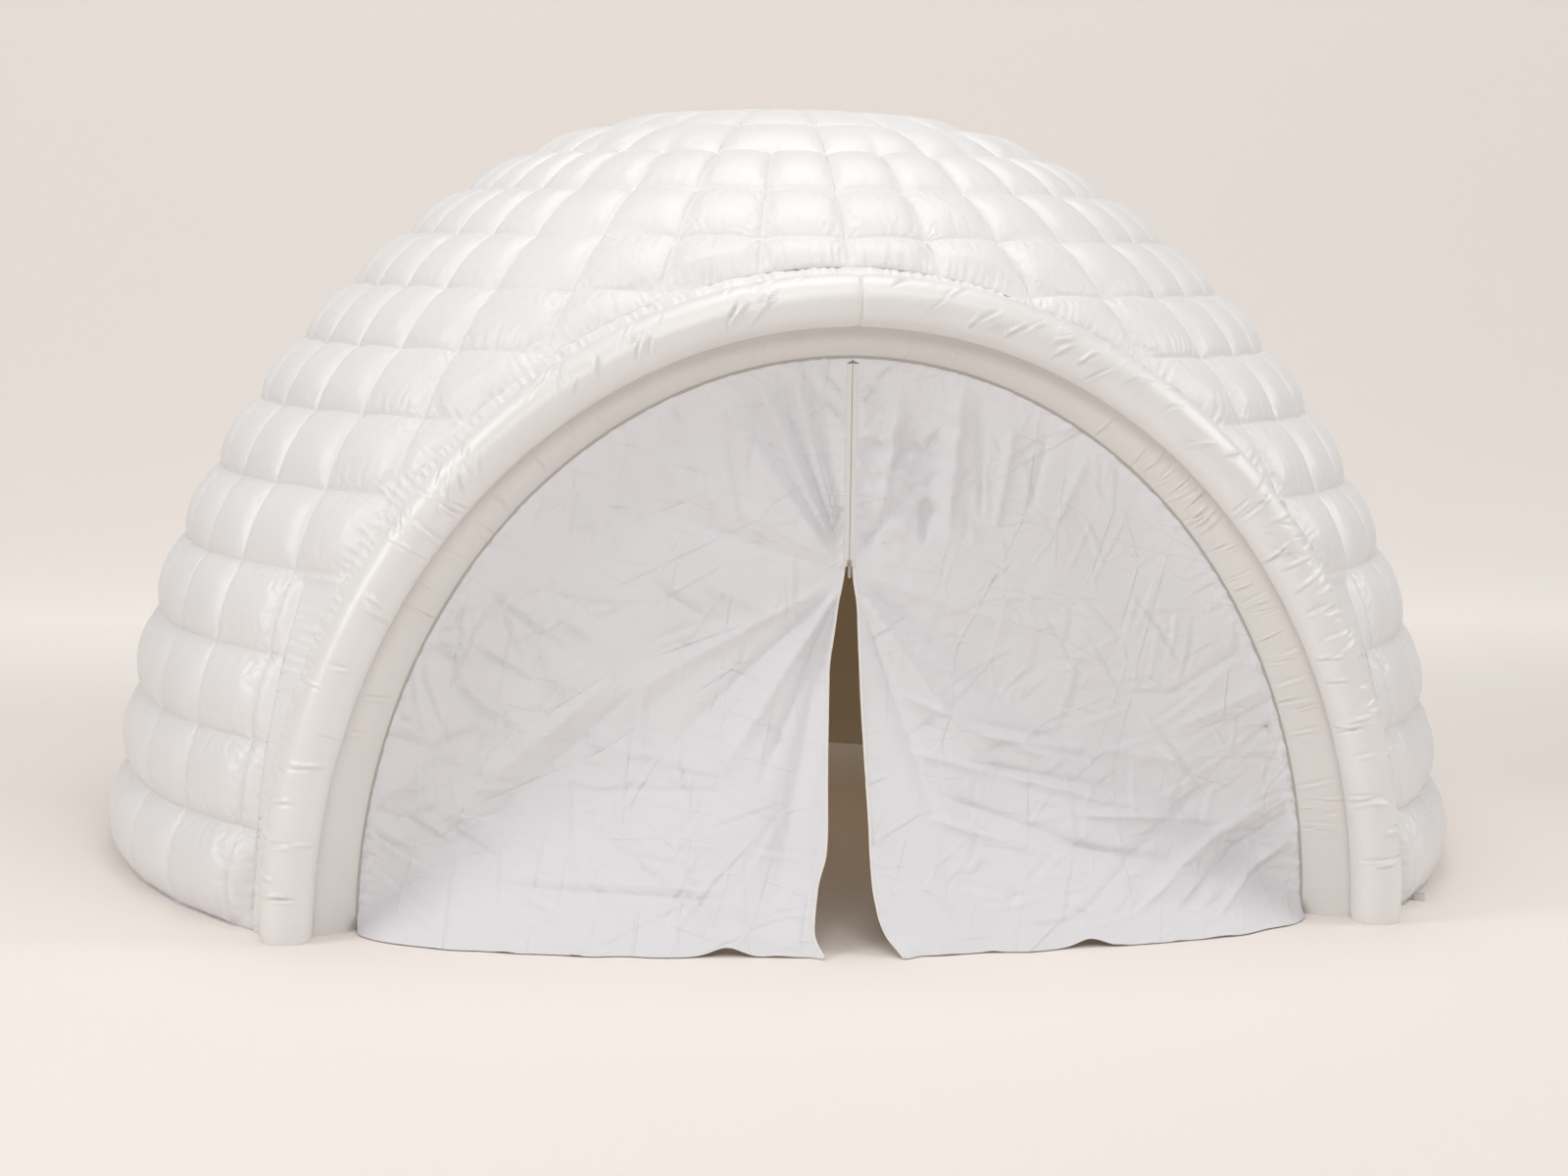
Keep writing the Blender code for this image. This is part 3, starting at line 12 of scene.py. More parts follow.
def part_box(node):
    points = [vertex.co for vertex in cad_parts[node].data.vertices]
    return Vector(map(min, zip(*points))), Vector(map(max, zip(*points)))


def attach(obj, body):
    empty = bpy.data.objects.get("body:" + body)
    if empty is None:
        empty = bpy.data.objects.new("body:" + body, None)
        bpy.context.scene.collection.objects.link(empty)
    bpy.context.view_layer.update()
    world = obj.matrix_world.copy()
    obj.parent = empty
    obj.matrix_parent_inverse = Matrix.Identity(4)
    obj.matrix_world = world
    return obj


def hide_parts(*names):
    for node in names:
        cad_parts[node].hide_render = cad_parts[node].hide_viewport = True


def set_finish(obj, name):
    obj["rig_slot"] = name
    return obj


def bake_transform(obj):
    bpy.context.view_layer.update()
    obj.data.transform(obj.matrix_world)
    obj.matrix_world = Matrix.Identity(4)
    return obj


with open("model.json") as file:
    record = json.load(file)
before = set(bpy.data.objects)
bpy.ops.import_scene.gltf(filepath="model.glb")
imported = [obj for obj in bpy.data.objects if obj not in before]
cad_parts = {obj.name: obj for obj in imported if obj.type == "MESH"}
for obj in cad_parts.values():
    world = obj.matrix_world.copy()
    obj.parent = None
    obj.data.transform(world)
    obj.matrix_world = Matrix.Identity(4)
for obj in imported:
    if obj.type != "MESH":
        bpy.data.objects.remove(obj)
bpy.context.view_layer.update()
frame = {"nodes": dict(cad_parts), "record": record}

# Wall of the dome, as the surface that its seams lie on
BASE_RADIUS = 2.0
DOME_RISE = 2.186
SPRING_HEIGHT = 0.12
PROFILE_POWER = 1.06
CROWN_DROP = 0.07
CROWN_REACH = 1.0
HEM_RADIUS = 2.018
WALL_DEPTH = 0.38
LINING_FOOT_RADIUS = 1.63
BOTTOM_ROW_HEIGHT = 0.266
LOWER_ROW_PITCH = 0.235
UPPER_ROW_PITCH = 0.222
ROWS_EACH = 5
FRONT_EDGE_DEG = 45.0
FRONT_COLUMNS = 8
GORE_DEG = 45.0
GORE_COLUMNS = 5
LINING_ROWS = 5
LINING_FRONT_COLUMNS = 6
LINING_GORE_COLUMNS = 3
CAP_RINGS = 3

# Rise of the puffs and of their seams over the tied corners
PUFF_RISE = 0.052
CROWN_PUFF_RISE = 0.036
BELLY_RISE = 0.072
ROW_SEAM_RISE = 0.014
COLUMN_SEAM_RISE = 0.014
BELLY_SEAM_RISE = 0.036
STRIP_RISE = 0.006
LINING_PUFF_RISE = 0.024
LINING_SEAM_RISE = 0.010

# Zigzag seam beside the arch's legs, up to a row seam
STITCH_DEG = 51.8
STITCH_TOP = 0.949
STITCH_FOOT = 0.03
STITCH_PITCH = 0.016
STITCH_HALF_WIDTH = 0.005
THREAD_RADIUS = 0.0011

# Doorway
ARCH_HALF_WIDTH = 1.494
ARCH_HEIGHT = 1.698
ARCH_FOOT_Y = 1.362
ARCH_CROWN_Y = 1.400
TUBE_RADIUS = 0.070
SEAM_RADIUS = TUBE_RADIUS * 0.93
COLLAR_REACH = 0.085
COLLAR_TUCK = 0.035
COLLAR_SWELL = 0.008
COLLAR_GATHER = 0.0042
COLLAR_HIDDEN_DEPTH = 0.010
TUBE_WRINKLE = 0.0009
CROWN_PUCKER = 0.0012
FOOT_PINCH = 0.07
REVEAL_SWELL = 0.016
REVEAL_CRUMPLE = {"left": 0.0006, "right": 0.0012}
JAMB_SAG = 0.004
PIPING_HALF_WIDTH = 1.310
PIPING_HEIGHT = 1.546
PIPING_FOOT_Y = 1.260
PIPING_CROWN_Y = 1.320
PIPING_RADIUS = 0.0045

# Shares of the doorway's oval: on its cut edge, near it, and behind the axis
ON_EDGE = 1.006
NEAR_DOOR = 1.12
FAR_OUTSIDE = 9.0

# Curtain
CURTAIN_TOE = 1.670
CURTAIN_SIDE_TOE = 1.290
CURTAIN_LIFT = 0.003
SLIT_HEIGHT = 0.985
SLIT_TOP_HALF = 0.0152
# Half opening of the slit on each side, by the share of its drop
SLIT_OPENING = {
    "left": ((0.0, 0.0076), (0.023, 0.0105), (0.081, 0.023), (0.182, 0.038), (0.276, 0.053),
             (0.472, 0.065), (0.58, 0.071), (0.689, 0.075), (0.761, 0.083), (0.819, 0.105),
             (0.906, 0.122), (0.957, 0.128), (1.0, 0.102)),
    "right": ((0.0, 0.0076), (0.023, 0.0085), (0.103, 0.020), (0.276, 0.024), (0.472, 0.028),
              (0.653, 0.031), (0.761, 0.031), (0.841, 0.032), (0.92, 0.044), (0.971, 0.068),
              (1.0, 0.105))}
BINDING_LAP = 0.004
BINDING_THICKNESS = 0.0024
ZIP_STOP_TOP = 1.5334
FOLD_START_HEIGHT = 0.05
FOLD_GAIN = 1.3
SEAM_GATHER = 0.006
ZIP_GATHER = 0.007
ALLOWANCE_WIDTH = 0.026
ALLOWANCE_RISE = 0.0022
HEM_SWAY = 0.016
HEM_RUFFLE = 0.006
HEM_WAVE_RISE = 0.020
HEM_WAVE = {"left": 0.36, "right": 0.62}

# Sampling of a quilt cell and of the long pieces
CELL_ACROSS = 28
CELL_UP = 22
FINE_ACROSS = 72
FINE_UP = 56
LINING_ACROSS = 12
LINING_UP = 10
SWATCHES = 12
WRINKLE_SHARE = 0.45
TUBE_STEPS = 1200
TUBE_ROUND = 64
COLLAR_STEPS = 840
COLLAR_COLUMNS = 20
REVEAL_COLUMNS = 24
JAMB_STEPS = 210
JAMB_COLUMNS = 8
CURTAIN_COLUMNS = 240
UPPER_ROWS = 130
LOWER_ROWS = 165

SIDES = {"left": -1, "right": 1}

dome_low, dome_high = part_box("outer_crown_cap")
DOME_Y = (dome_low.y + dome_high.y) / 2


# Meshes from grids of points


def add_mesh(name, points, faces, slot, uv=None, smooth=True):
    """A new piece from an array of points and an array of quads, with its place in its mesh."""
    data = bpy.data.meshes.new(name)
    data.from_pydata(points.tolist(), [], faces.tolist())
    if uv is not None:
        layer = data.uv_layers.new(name="cloth")
        index = np.empty(len(data.loops), np.int32)
        data.loops.foreach_get("vertex_index", index)
        layer.data.foreach_set("uv", uv[index].astype(np.float32).ravel())
    data.polygons.foreach_set("use_smooth", [smooth] * len(data.polygons))
    data.update()
    piece = bpy.data.objects.new(name, data)
    bpy.context.scene.collection.objects.link(piece)
    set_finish(piece, slot)
    return piece


def grid_faces(rows, columns, start=0, closed=False):
    """Quads of a grid whose points run along its columns first."""
    across = columns if closed else columns - 1
    row, column = np.meshgrid(np.arange(rows - 1), np.arange(across), indexing="ij")
    after = (column + 1) % columns
    quads = np.stack([row * columns + column, row * columns + after,
                      (row + 1) * columns + after, (row + 1) * columns + column], -1)
    return quads.reshape(-1, 4) + start


def grid_piece(name, points, slot, uv, turned=False, closed=False):
    """A piece from a grid of points. turned says whether its faces are turned over."""
    faces = grid_faces(*points.shape[:2], closed=closed)
    if turned:
        faces = faces[:, ::-1]
    return add_mesh(name, points.reshape(-1, 3), faces, slot, np.stack(uv, -1).reshape(-1, 2))


def unit(vectors):
    return vectors / np.maximum(np.linalg.norm(vectors, axis=-1, keepdims=True), 1e-9)


def grid_normals(points, toward):
    """Normals of a grid of points, turned to the side that toward gives."""
    along = np.gradient(points, axis=0)
    across = np.gradient(points, axis=1)
    normals = unit(np.cross(along, across))
    flip = np.sign(np.sum(normals * toward, axis=-1, keepdims=True))
    return normals * np.where(flip == 0, 1.0, flip)


def smooth_step(value):
    value = np.clip(value, 0.0, 1.0)
    return value * value * (3.0 - 2.0 * value)


def noise_field(x, y, z, size, seed):
    """Smooth noise from -1 to 1 at each place (x, y, z)."""
    places = np.stack(np.broadcast_arrays(x, y, z), -1)
    shift = Vector((seed * 3.1, seed * 7.7, seed * 1.3))
    values = [noise.noise(Vector(p) + shift) for p in (places.reshape(-1, 3) / size).tolist()]
    return np.array(values).reshape(places.shape[:-1])


def creases(s, t, marks):
    """Depth at surface places (s, t), in metres, of short creases.

    A mark is (s, t, turn, length, width, depth): a fold with its shadow side and a ridge beside it.
    """
    depth = np.zeros_like(s)
    for s0, t0, turn, length, width, height in marks:
        near = (np.abs(s - s0) < length) & (np.abs(t - t0) < length)
        if not near.any():
            continue
        ds, dt = s[near] - s0, t[near] - t0
        along = ds * math.cos(turn) + dt * math.sin(turn)
        bow = 0.12 * along ** 2 / length
        beside = (dt * math.cos(turn) - ds * math.sin(turn) - bow) / width
        reach = np.clip(1.0 - (2.0 * along / length) ** 2, 0.0, 1.0)
        depth[near] += height * reach * (np.exp(-beside ** 2) - 0.7 * np.exp(-(beside - 1.7) ** 2))
    return depth


def random_marks(rng, count, *ranges):
    """Creases whose six values are drawn from ranges. Each one is raised or sunk at random."""
    marks = []
    for _ in range(count):
        *values, depth = [rng.uniform(low, high) for low, high in ranges]
        marks.append((*values, depth * rng.choice((-1, 1))))
    return marks


# Upright line of the wall


class Meridian:
    """The wall's upright line by its length. Length 0 is the seam on top of the bottom row."""

    def __init__(self, depth, foot_radius):
        turn = np.linspace(0.0, math.pi / 2, 1200)
        radius = (BASE_RADIUS - depth) * np.maximum(np.cos(turn), 0.0) ** PROFILE_POWER
        height = SPRING_HEIGHT + (DOME_RISE - depth) * np.sin(turn) ** PROFILE_POWER
        height = height - CROWN_DROP * np.maximum(0.0, 1.0 - radius / CROWN_REACH) ** 2
        kept = height >= BOTTOM_ROW_HEIGHT
        radius, height = radius[kept], height[kept]
        steps = np.hypot(np.diff(radius), np.diff(height))
        self.foot = -math.hypot(radius[0] - foot_radius, height[0])
        self.length = np.concatenate([[self.foot, 0.0], np.cumsum(steps)])
        self.radius = np.concatenate([[foot_radius], radius])
        self.height = np.concatenate([[0.0], height])
        self.top = self.length[-1]

    def at(self, length):
        return np.interp(length, self.length, self.radius), np.interp(length, self.length, self.height)

    def normal(self, length):
        step = self.top / 600
        before, after = self.at(length - step), self.at(length + step)
        run = math.hypot(after[0] - before[0], after[1] - before[1])
        if length <= self.foot + step:
            return 1.0, 0.0
        return (after[1] - before[1]) / run, (before[0] - after[0]) / run

    def radius_at_height(self, height):
        return np.interp(height, self.height, self.radius)


WALL = Meridian(0.0, HEM_RADIUS)
LINING = Meridian(WALL_DEPTH, LINING_FOOT_RADIUS)
ROW_LENGTHS = [0.0]
for pitch in [LOWER_ROW_PITCH] * ROWS_EACH + [UPPER_ROW_PITCH] * ROWS_EACH:
    ROW_LENGTHS.append(ROW_LENGTHS[-1] + pitch)
CAP_LENGTH = ROW_LENGTHS[-1]
LINING_CAP_LENGTH = LINING.top * CAP_LENGTH / WALL.top


def wall_corner(meridian, azimuth, length):
    """A tied corner of the quilt with its outward normal.

    The azimuth runs from the doorway's direction, positive towards +X.
    """
    radius, height = meridian.at(length)
    flat, up = meridian.normal(length)
    turn = math.radians(azimuth)
    away = np.array([math.sin(turn), -math.cos(turn), 0.0])
    return away * radius + [0.0, DOME_Y, height], away * flat + [0.0, 0.0, up]


def corners_of(meridian, left, right, low, high):
    """The four corners of a cell: low left, low right, high right, high left."""
    places = ((left, low), (right, low), (right, high), (left, high))
    return [wall_corner(meridian, azimuth, length) for azimuth, length in places]


# Blown-up swatches of sewn cloth


def cell_places(across, up):
    """Shares across and up a cell, from 0 to 1, as two grids."""
    return np.meshgrid(np.linspace(0, 1, across + 1), np.linspace(0, 1, up + 1))


def plain_puff(u, v):
    """Rise of a smooth puff over a cell, as a share of its middle."""
    return (1.0 - np.abs(2 * u - 1) ** 2.1) ** 0.74 * (1.0 - np.abs(2 * v - 1) ** 2.1) ** 0.74


SWATCH_CLOTH = {"quality": 6, "mass": 0.12, "tension_stiffness": 25.0, "compression_stiffness": 25.0,
                "shear_stiffness": 8.0, "bending_stiffness": 0.25, "use_pressure": True,
                "uniform_pressure_force": 7.0, "vertex_group_mass": "seams", "shrink_min": -0.036}


def blown_swatches(across, up, count):
    """Cells of cloth pinned along their seams and blown up by a cloth simulation.

    Returns the rise over each cell as a share of its middle.
    """
    cell_wide, spread, start_rise, jitter_rise, frames = 0.314, 0.5, 0.016, 0.0006, 26
    rng = np.random.default_rng(11)
    u, v = cell_places(across, up)
    smooth = plain_puff(u, v)
    points, faces, pinned = [], [], []
    for index in range(count):
        jitter = rng.normal(0.0, jitter_rise, u.shape) * smooth_step(smooth * 4)
        x = u * cell_wide + spread * (index % 4)
        y = v * LOWER_ROW_PITCH + spread * (index // 4)
        start = len(points) * u.size
        points.append(np.stack([x, y, smooth * start_rise + jitter], -1).reshape(-1, 3))
        faces.append(grid_faces(up + 1, across + 1, start))
        pinned.append(((u == 0) | (u == 1) | (v == 0) | (v == 1)).ravel())
    swatch = add_mesh("swatches", np.concatenate(points), np.concatenate(faces), "satin")
    group = swatch.vertex_groups.new(name="seams")
    group.add(np.flatnonzero(np.concatenate(pinned)).tolist(), 1.0, "REPLACE")
    cloth = swatch.modifiers.new("air", "CLOTH")
    for name, value in SWATCH_CLOTH.items():
        setattr(cloth.settings, name, value)
    cloth.settings.effector_weights.gravity = 0.0
    cloth.collision_settings.use_collision = False
    scene = bpy.context.scene
    for number in range(1, frames + 1):
        scene.frame_set(number)
    solved = swatch.evaluated_get(bpy.context.evaluated_depsgraph_get())
    heights = np.empty(len(solved.data.vertices) * 3)
    solved.data.vertices.foreach_get("co", heights)
    heights = heights.reshape(count, up + 1, across + 1, 3)[..., 2]
    bpy.data.objects.remove(swatch)
    scene.frame_set(1)
    middle = heights[:, up // 3:-(up // 3), across // 3:-(across // 3)].mean(axis=(1, 2))
    return heights / middle[:, None, None]


def make_swatches(across, up):
    """Rises of the outer skin's cells: a smooth pillow with a share of the blown one's wrinkles."""
    u, v = cell_places(across, up)
    smooth = plain_puff(u, v)[None]
    blown = blown_swatches(across, up, SWATCHES)
    return smooth * (1.0 - WRINKLE_SHARE) + blown * WRINKLE_SHARE


OUTER_SWATCHES = make_swatches(CELL_ACROSS, CELL_UP)
LINING_SWATCH = plain_puff(*cell_places(LINING_ACROSS, LINING_UP))[None]


def resample(values, places, axis):
    """Smooth values at fractional places along an axis (Catmull-Rom)."""
    count = values.shape[axis]
    low = np.clip(np.floor(places).astype(int), 0, count - 2)
    share = places - low
    shape = [1, 1]
    shape[axis] = len(places)
    share = share.reshape(shape)
    a, b, c, d = [np.take(values, np.clip(low + i, 0, count - 1), axis=axis) for i in (-1, 0, 1, 2)]
    return 0.5 * (2 * b + (c - a) * share + (2 * a - 5 * b + 4 * c - d) * share ** 2
                  + (3 * b - a - 3 * c + d) * share ** 3)


def seam_spacing(count):
    """Shares from 0 to 1 that lie closer together near the seams."""
    even = np.linspace(0.0, 1.0, count + 1)
    return 0.35 * even + 0.65 * (0.5 - 0.5 * np.cos(math.pi * even))


def seam_arch(share):
    """Shape of a seam between two ties: it leaves each tie steeply."""
    return 1.0 - np.abs(2 * share - 1) ** 2.4


def tie_wrinkles(u, v, wide, high, seed):
    """Short folds that run out from the four tied corners of a cell."""
    rng = random.Random(seed)
    depth = np.zeros_like(u)
    for corner_u, corner_v in ((0, 0), (1, 0), (1, 1), (0, 1)):
        du, dv = np.abs(u - corner_u) * wide, np.abs(v - corner_v) * high
        reach = np.hypot(du, dv)
        angle = np.arctan2(dv, du)
        wave = np.zeros_like(u)
        for _ in range(3):
            place, width = rng.uniform(0.15, 1.42), rng.uniform(0.06, 0.12)
            length = rng.uniform(0.035, 0.075)
            beside = (angle - place) / width
            fold = np.exp(-beside ** 2) - 0.6 * np.exp(-(beside - 2.2) ** 2)
            wave += rng.uniform(0.0012, 0.0028) * fold * np.exp(-(reach / length) ** 2)
        depth += wave * smooth_step(reach / 0.018)
    return depth


def quilt_cell(corners, rises, swatch, way, size=None, seed=0):
    """Points over one cell. corners run low left, low right, high right, high left.

    rises are those of the puff and of its low, high, left and right seams. A low seam may be
    tied in its middle as well, where corners has a fifth entry for that tie.
    """
    across, up = size or (swatch.shape[1] - 1, swatch.shape[0] - 1)
    u_share, v_share = seam_spacing(across), seam_spacing(up)
    swatch = resample(swatch, v_share * (swatch.shape[0] - 1), 0)
    swatch = resample(swatch, u_share * (swatch.shape[1] - 1), 1)
    u, v = np.meshgrid(u_share, v_share)
    low_left, low_right, high_right, high_left = [corner[0] for corner in corners[:4]]
    normals = [corner[1] for corner in corners[:4]]
    puff, low, high, left, right = rises
    side = u[..., None]
    low_line = low_left * (1 - side) + low_right * side
    low_arch = seam_arch(u)
    if len(corners) == 5:
        tie = corners[4][0]
        first, last = np.minimum(2 * side, 1.0), np.maximum(2 * side - 1, 0.0)
        low_line = low_left + (tie - low_left) * first + (low_right - tie) * last
        low_arch = seam_arch(np.mod(2 * u, 1.0))
    high_line = high_left * (1 - side) + high_right * side
    base = low_line * (1 - v[..., None]) + high_line * v[..., None]
    normal = (normals[0] * (1 - side) + normals[1] * side) * (1 - v[..., None])
    normal = unit(normal + (normals[3] * (1 - side) + normals[2] * side) * v[..., None])
    edges = low * low_arch * (1 - v) ** 3 + high * seam_arch(u) * v ** 3
    edges = edges + left * seam_arch(v) * (1 - u) ** 3 + right * seam_arch(v) * u ** 3
    middle = (low + high + left + right) / 8
    height = edges + (puff - middle) * swatch
    if way > 0 and puff > STRIP_RISE:
        wide = np.linalg.norm(low_right - low_left)
        tall = np.linalg.norm(high_left - low_left)
        height = height + tie_wrinkles(u, v, wide, tall, seed)
    return base + way * height[..., None] * normal, u, v


def quilt_sheet(name, cells, swatches, slot, way=1.0, seed=1, fine=None):
    """One sewn skin of puffed cells, welded along its seams.

    fine says which cells get a closer grid, from the places of their corners.
    """
    rng = random.Random(seed)
    points, faces, places = [], [], []
    start = 0
    for corners, rises, row, column in cells:
        swatch = swatches[rng.randrange(len(swatches))]
        if rng.random() < 0.5:
            swatch = swatch[:, ::-1]
        if rng.random() < 0.5:
            swatch = swatch[::-1]
        close = fine is not None and fine(np.array([corner[0] for corner in corners]))
        size = (FINE_ACROSS, FINE_UP) if close else None
        grid, u, v = quilt_cell(corners, rises, swatch, way, size, rng.randrange(10 ** 6))
        points.append(grid.reshape(-1, 3))
        places.append(np.stack([column + u, row + v], -1).reshape(-1, 2))
        quads = grid_faces(*u.shape, start)
        faces.append(quads if way > 0 else quads[:, ::-1])
        start += u.size
    piece = add_mesh(name, np.concatenate(points), np.concatenate(faces), slot,
                     np.concatenate(places))
    weld(piece, distance=0.0002)
    return piece


@contextlib.contextmanager
def open_mesh(piece):
    """A piece's mesh while it is being changed. It is written back at the end."""
    work = bmesh.new()
    work.from_mesh(piece.data)
    yield work
    work.to_mesh(piece.data)
    work.free()


def weld(piece, distance):
    with open_mesh(piece) as work:
        bmesh.ops.remove_doubles(work, verts=work.verts, dist=distance)


def from_axis(point):
    """Distance of a point from the dome's upright axis."""
    return math.hypot(point.x, point.y - DOME_Y)


def scale_to_axis(point, scale):
    """Move a point towards the dome's upright axis, or away from it."""
    point.x *= scale
    point.y = DOME_Y + (point.y - DOME_Y) * scale


def oval_share(point, half_width, height):
    """Below 1 inside the doorway's oval in front view."""
    return (point.x / half_width) ** 2 + (point.z / height) ** 2


def rise_at(length):
    """Rise of the puffs in the row that starts at a length up the wall."""
    share = min(1.0, max(0.0, length / CAP_LENGTH))
    return PUFF_RISE + (CROWN_PUFF_RISE - PUFF_RISE) * share


def gore_azimuths(side, number, columns):
    start = FRONT_EDGE_DEG + GORE_DEG * number
    azimuths = [start + GORE_DEG * i / columns for i in range(columns + 1)]
    return azimuths if side > 0 else [-a for a in reversed(azimuths)]


def front_azimuths(columns):
    return [-FRONT_EDGE_DEG + 2 * FRONT_EDGE_DEG * i / columns for i in range(columns + 1)]


def panel_azimuths(front_columns, gore_columns):
    """Azimuths of the column seams of each upright panel."""
    panels = {"front_panel": front_azimuths(front_columns)}
    for word, side in SIDES.items():
        for number in range(3):
            panels[f"gore_{word}_{number + 1}"] = gore_azimuths(side, number, gore_columns)
    return panels


def all_azimuths(front_columns, gore_columns):
    azimuths = front_azimuths(front_columns)[:-1]
    for number in range(3):
        azimuths += gore_azimuths(1, number, gore_columns)[:-1]
    for number in reversed(range(3)):
        azimuths += gore_azimuths(-1, number, gore_columns)[:-1]
    return azimuths


def door_share(points, half_width, height):
    """Below 1 inside the doorway's oval, in front of the axis."""
    inside = (points[..., 0] / half_width) ** 2 + (points[..., 2] / height) ** 2
    return np.where(points[..., 1] < DOME_Y, inside, FAR_OUTSIDE)


def wall_cells(meridian, lengths, azimuths, rises, door):
    """The cells of a panel, without those that lie wholly in the doorway."""
    cells = []
    for row in range(len(lengths) - 1):
        for column in range(len(azimuths) - 1):
            corners = corners_of(meridian, *azimuths[column:column + 2], *lengths[row:row + 2])
            places = np.array([corner[0] for corner in corners])
            if (door_share(places, *door) < 1.0).all():
                continue
            cells.append((corners, rises(row), row, column))
    return cells


def trim_to_door(piece, half_width, height, tuck):
    """Cut the skin along the doorway's oval and draw its edge down to the seam there."""
    mean = (half_width + height) / 2

    def share(point):
        return FAR_OUTSIDE if point.y > DOME_Y else oval_share(point, half_width, height)

    with open_mesh(piece) as work:
        values = {vert: share(vert.co) for vert in work.verts}
        moved = {}
        for edge in work.edges:
            a, b = edge.verts
            if (values[a] < 1.0) != (values[b] < 1.0):
                inner, outer = (a, b) if values[a] < 1.0 else (b, a)
                mix = (1.0 - values[inner]) / (values[outer] - values[inner])
                place = inner.co.lerp(outer.co, mix)
                if inner not in moved or (place - inner.co).length < (moved[inner] - inner.co).length:
                    moved[inner] = place
        doomed = [face for face in work.faces if all(values[vert] < 1.0 for vert in face.verts)]
        for vert, place in moved.items():
            vert.co = place
        bmesh.ops.delete(work, geom=doomed, context="FACES")
        for vert in work.verts:
            away = (math.sqrt(max(share(vert.co), 1.0)) - 1.0) * mean
            if away < tuck and vert.co.y < DOME_Y:
                radius = from_axis(vert.co)
                seam = float(WALL.radius_at_height(vert.co.z))
                if radius > seam:
                    keep = (away / tuck) ** 0.6
                    scale_to_axis(vert.co, (seam + (radius - seam) * keep) / radius)


def flatten_strip(piece):
    """Draw the skin beside each arch leg down to the zigzag seam and the flat strip inside it."""
    for vert in piece.data.vertices:
        point = vert.co
        if point.y > DOME_Y or point.z > STITCH_TOP + 0.02:
            continue
        turn = math.degrees(math.atan2(abs(point.x), DOME_Y - point.y))
        radius = from_axis(point)
        seam = float(WALL.radius_at_height(point.z)) + STRIP_RISE
        if radius < seam:
            continue
        beside = math.radians(turn - STITCH_DEG) * radius
        past = smooth_step(beside / 0.055) ** 0.7
        above = smooth_step((point.z - STITCH_TOP + 0.035) / 0.05)
        keep = max(float(past), float(above))
        scale_to_axis(point, (seam + (radius - seam) * keep) / radius)


def arch_gathers(run, away, seed):
    """Height from -1 to 1 of the gathers along the arch's seams, drawn out across the seam."""
    long = noise.noise(Vector((run / 0.026, away / 0.22, seed)))
    short = noise.noise(Vector((run / 0.014, away / 0.09, seed + 5.0)))
    return 0.9 - 3.4 * abs(long) + 0.9 * short


def gather(piece, half_width, height, reach, depth):
    """Gathers square to the doorway's seam, and level ones in the strips beside the legs."""
    mean = (half_width + height) / 2
    strip_turn = math.radians(STITCH_DEG)
    for vert in piece.data.vertices:
        point = vert.co
        if point.y > DOME_Y:
            continue
        away = (math.sqrt(oval_share(point, half_width, height)) - 1.0) * mean
        turn = math.atan2(abs(point.x), DOME_Y - point.y)
        if turn < strip_turn and point.z < STITCH_TOP:
            inside = (strip_turn - turn) * from_axis(point)
            wave = arch_gathers(point.z, inside, 2.0)
            fade = min(1.0, inside / 0.006) * min(1.0, (STITCH_TOP - point.z) / 0.02)
            fade *= 0.55 + 0.45 * noise.noise(Vector((point.z / 0.12, 0.0, 7.0)))
            point.y -= 0.6 * depth * wave * fade
            point.x += 0.5 * depth * wave * fade * math.copysign(1.0, point.x)
        elif -0.001 <= away < reach:
            run = math.atan2(point.z / height, point.x / half_width) * mean
            long = reach * (0.75 + 0.5 * noise.noise(Vector((run / 0.05, 3.0, 1.0))))
            fade = max(0.0, 1.0 - away / long) ** 1.3 * min(1.0, 0.3 + away / 0.02)
            point.y -= depth * arch_gathers(run, away, 4.0) * fade


def outer_rises(row):
    if row == 0:
        return BELLY_RISE, 0.0, ROW_SEAM_RISE, BELLY_SEAM_RISE, BELLY_SEAM_RISE
    return rise_at(ROW_LENGTHS[row - 1]), ROW_SEAM_RISE, ROW_SEAM_RISE, COLUMN_SEAM_RISE, COLUMN_SEAM_RISE


def lining_rises(row):
    low = 0.0 if row == 0 else LINING_SEAM_RISE / 2
    return LINING_PUFF_RISE, low, LINING_SEAM_RISE / 2, LINING_SEAM_RISE, LINING_SEAM_RISE


OUTER_DOOR = (ARCH_HALF_WIDTH + COLLAR_REACH, ARCH_HEIGHT + COLLAR_REACH)
LINING_DOOR = (PIPING_HALF_WIDTH + 0.004, PIPING_HEIGHT + 0.004)


def turn_in(piece, half_width, height, depth):
    """Turn the skin's cut edge in round the doorway, so that it closes on the collar."""
    def on_edge(point):
        return point.y < DOME_Y and oval_share(point, half_width, height) < ON_EDGE

    with open_mesh(piece) as work:
        rim = [edge for edge in work.edges
               if edge.is_boundary and all(on_edge(vert.co) for vert in edge.verts)]
        made = bmesh.ops.extrude_edge_only(work, edges=rim)["geom"]
        for vert in made:
            if isinstance(vert, bmesh.types.BMVert):
                scale_to_axis(vert.co, 1.0 - depth / from_axis(vert.co))
        bmesh.ops.recalc_face_normals(work, faces=work.faces)


def near_door(places):
    return door_share(places, *OUTER_DOOR).min() < NEAR_DOOR


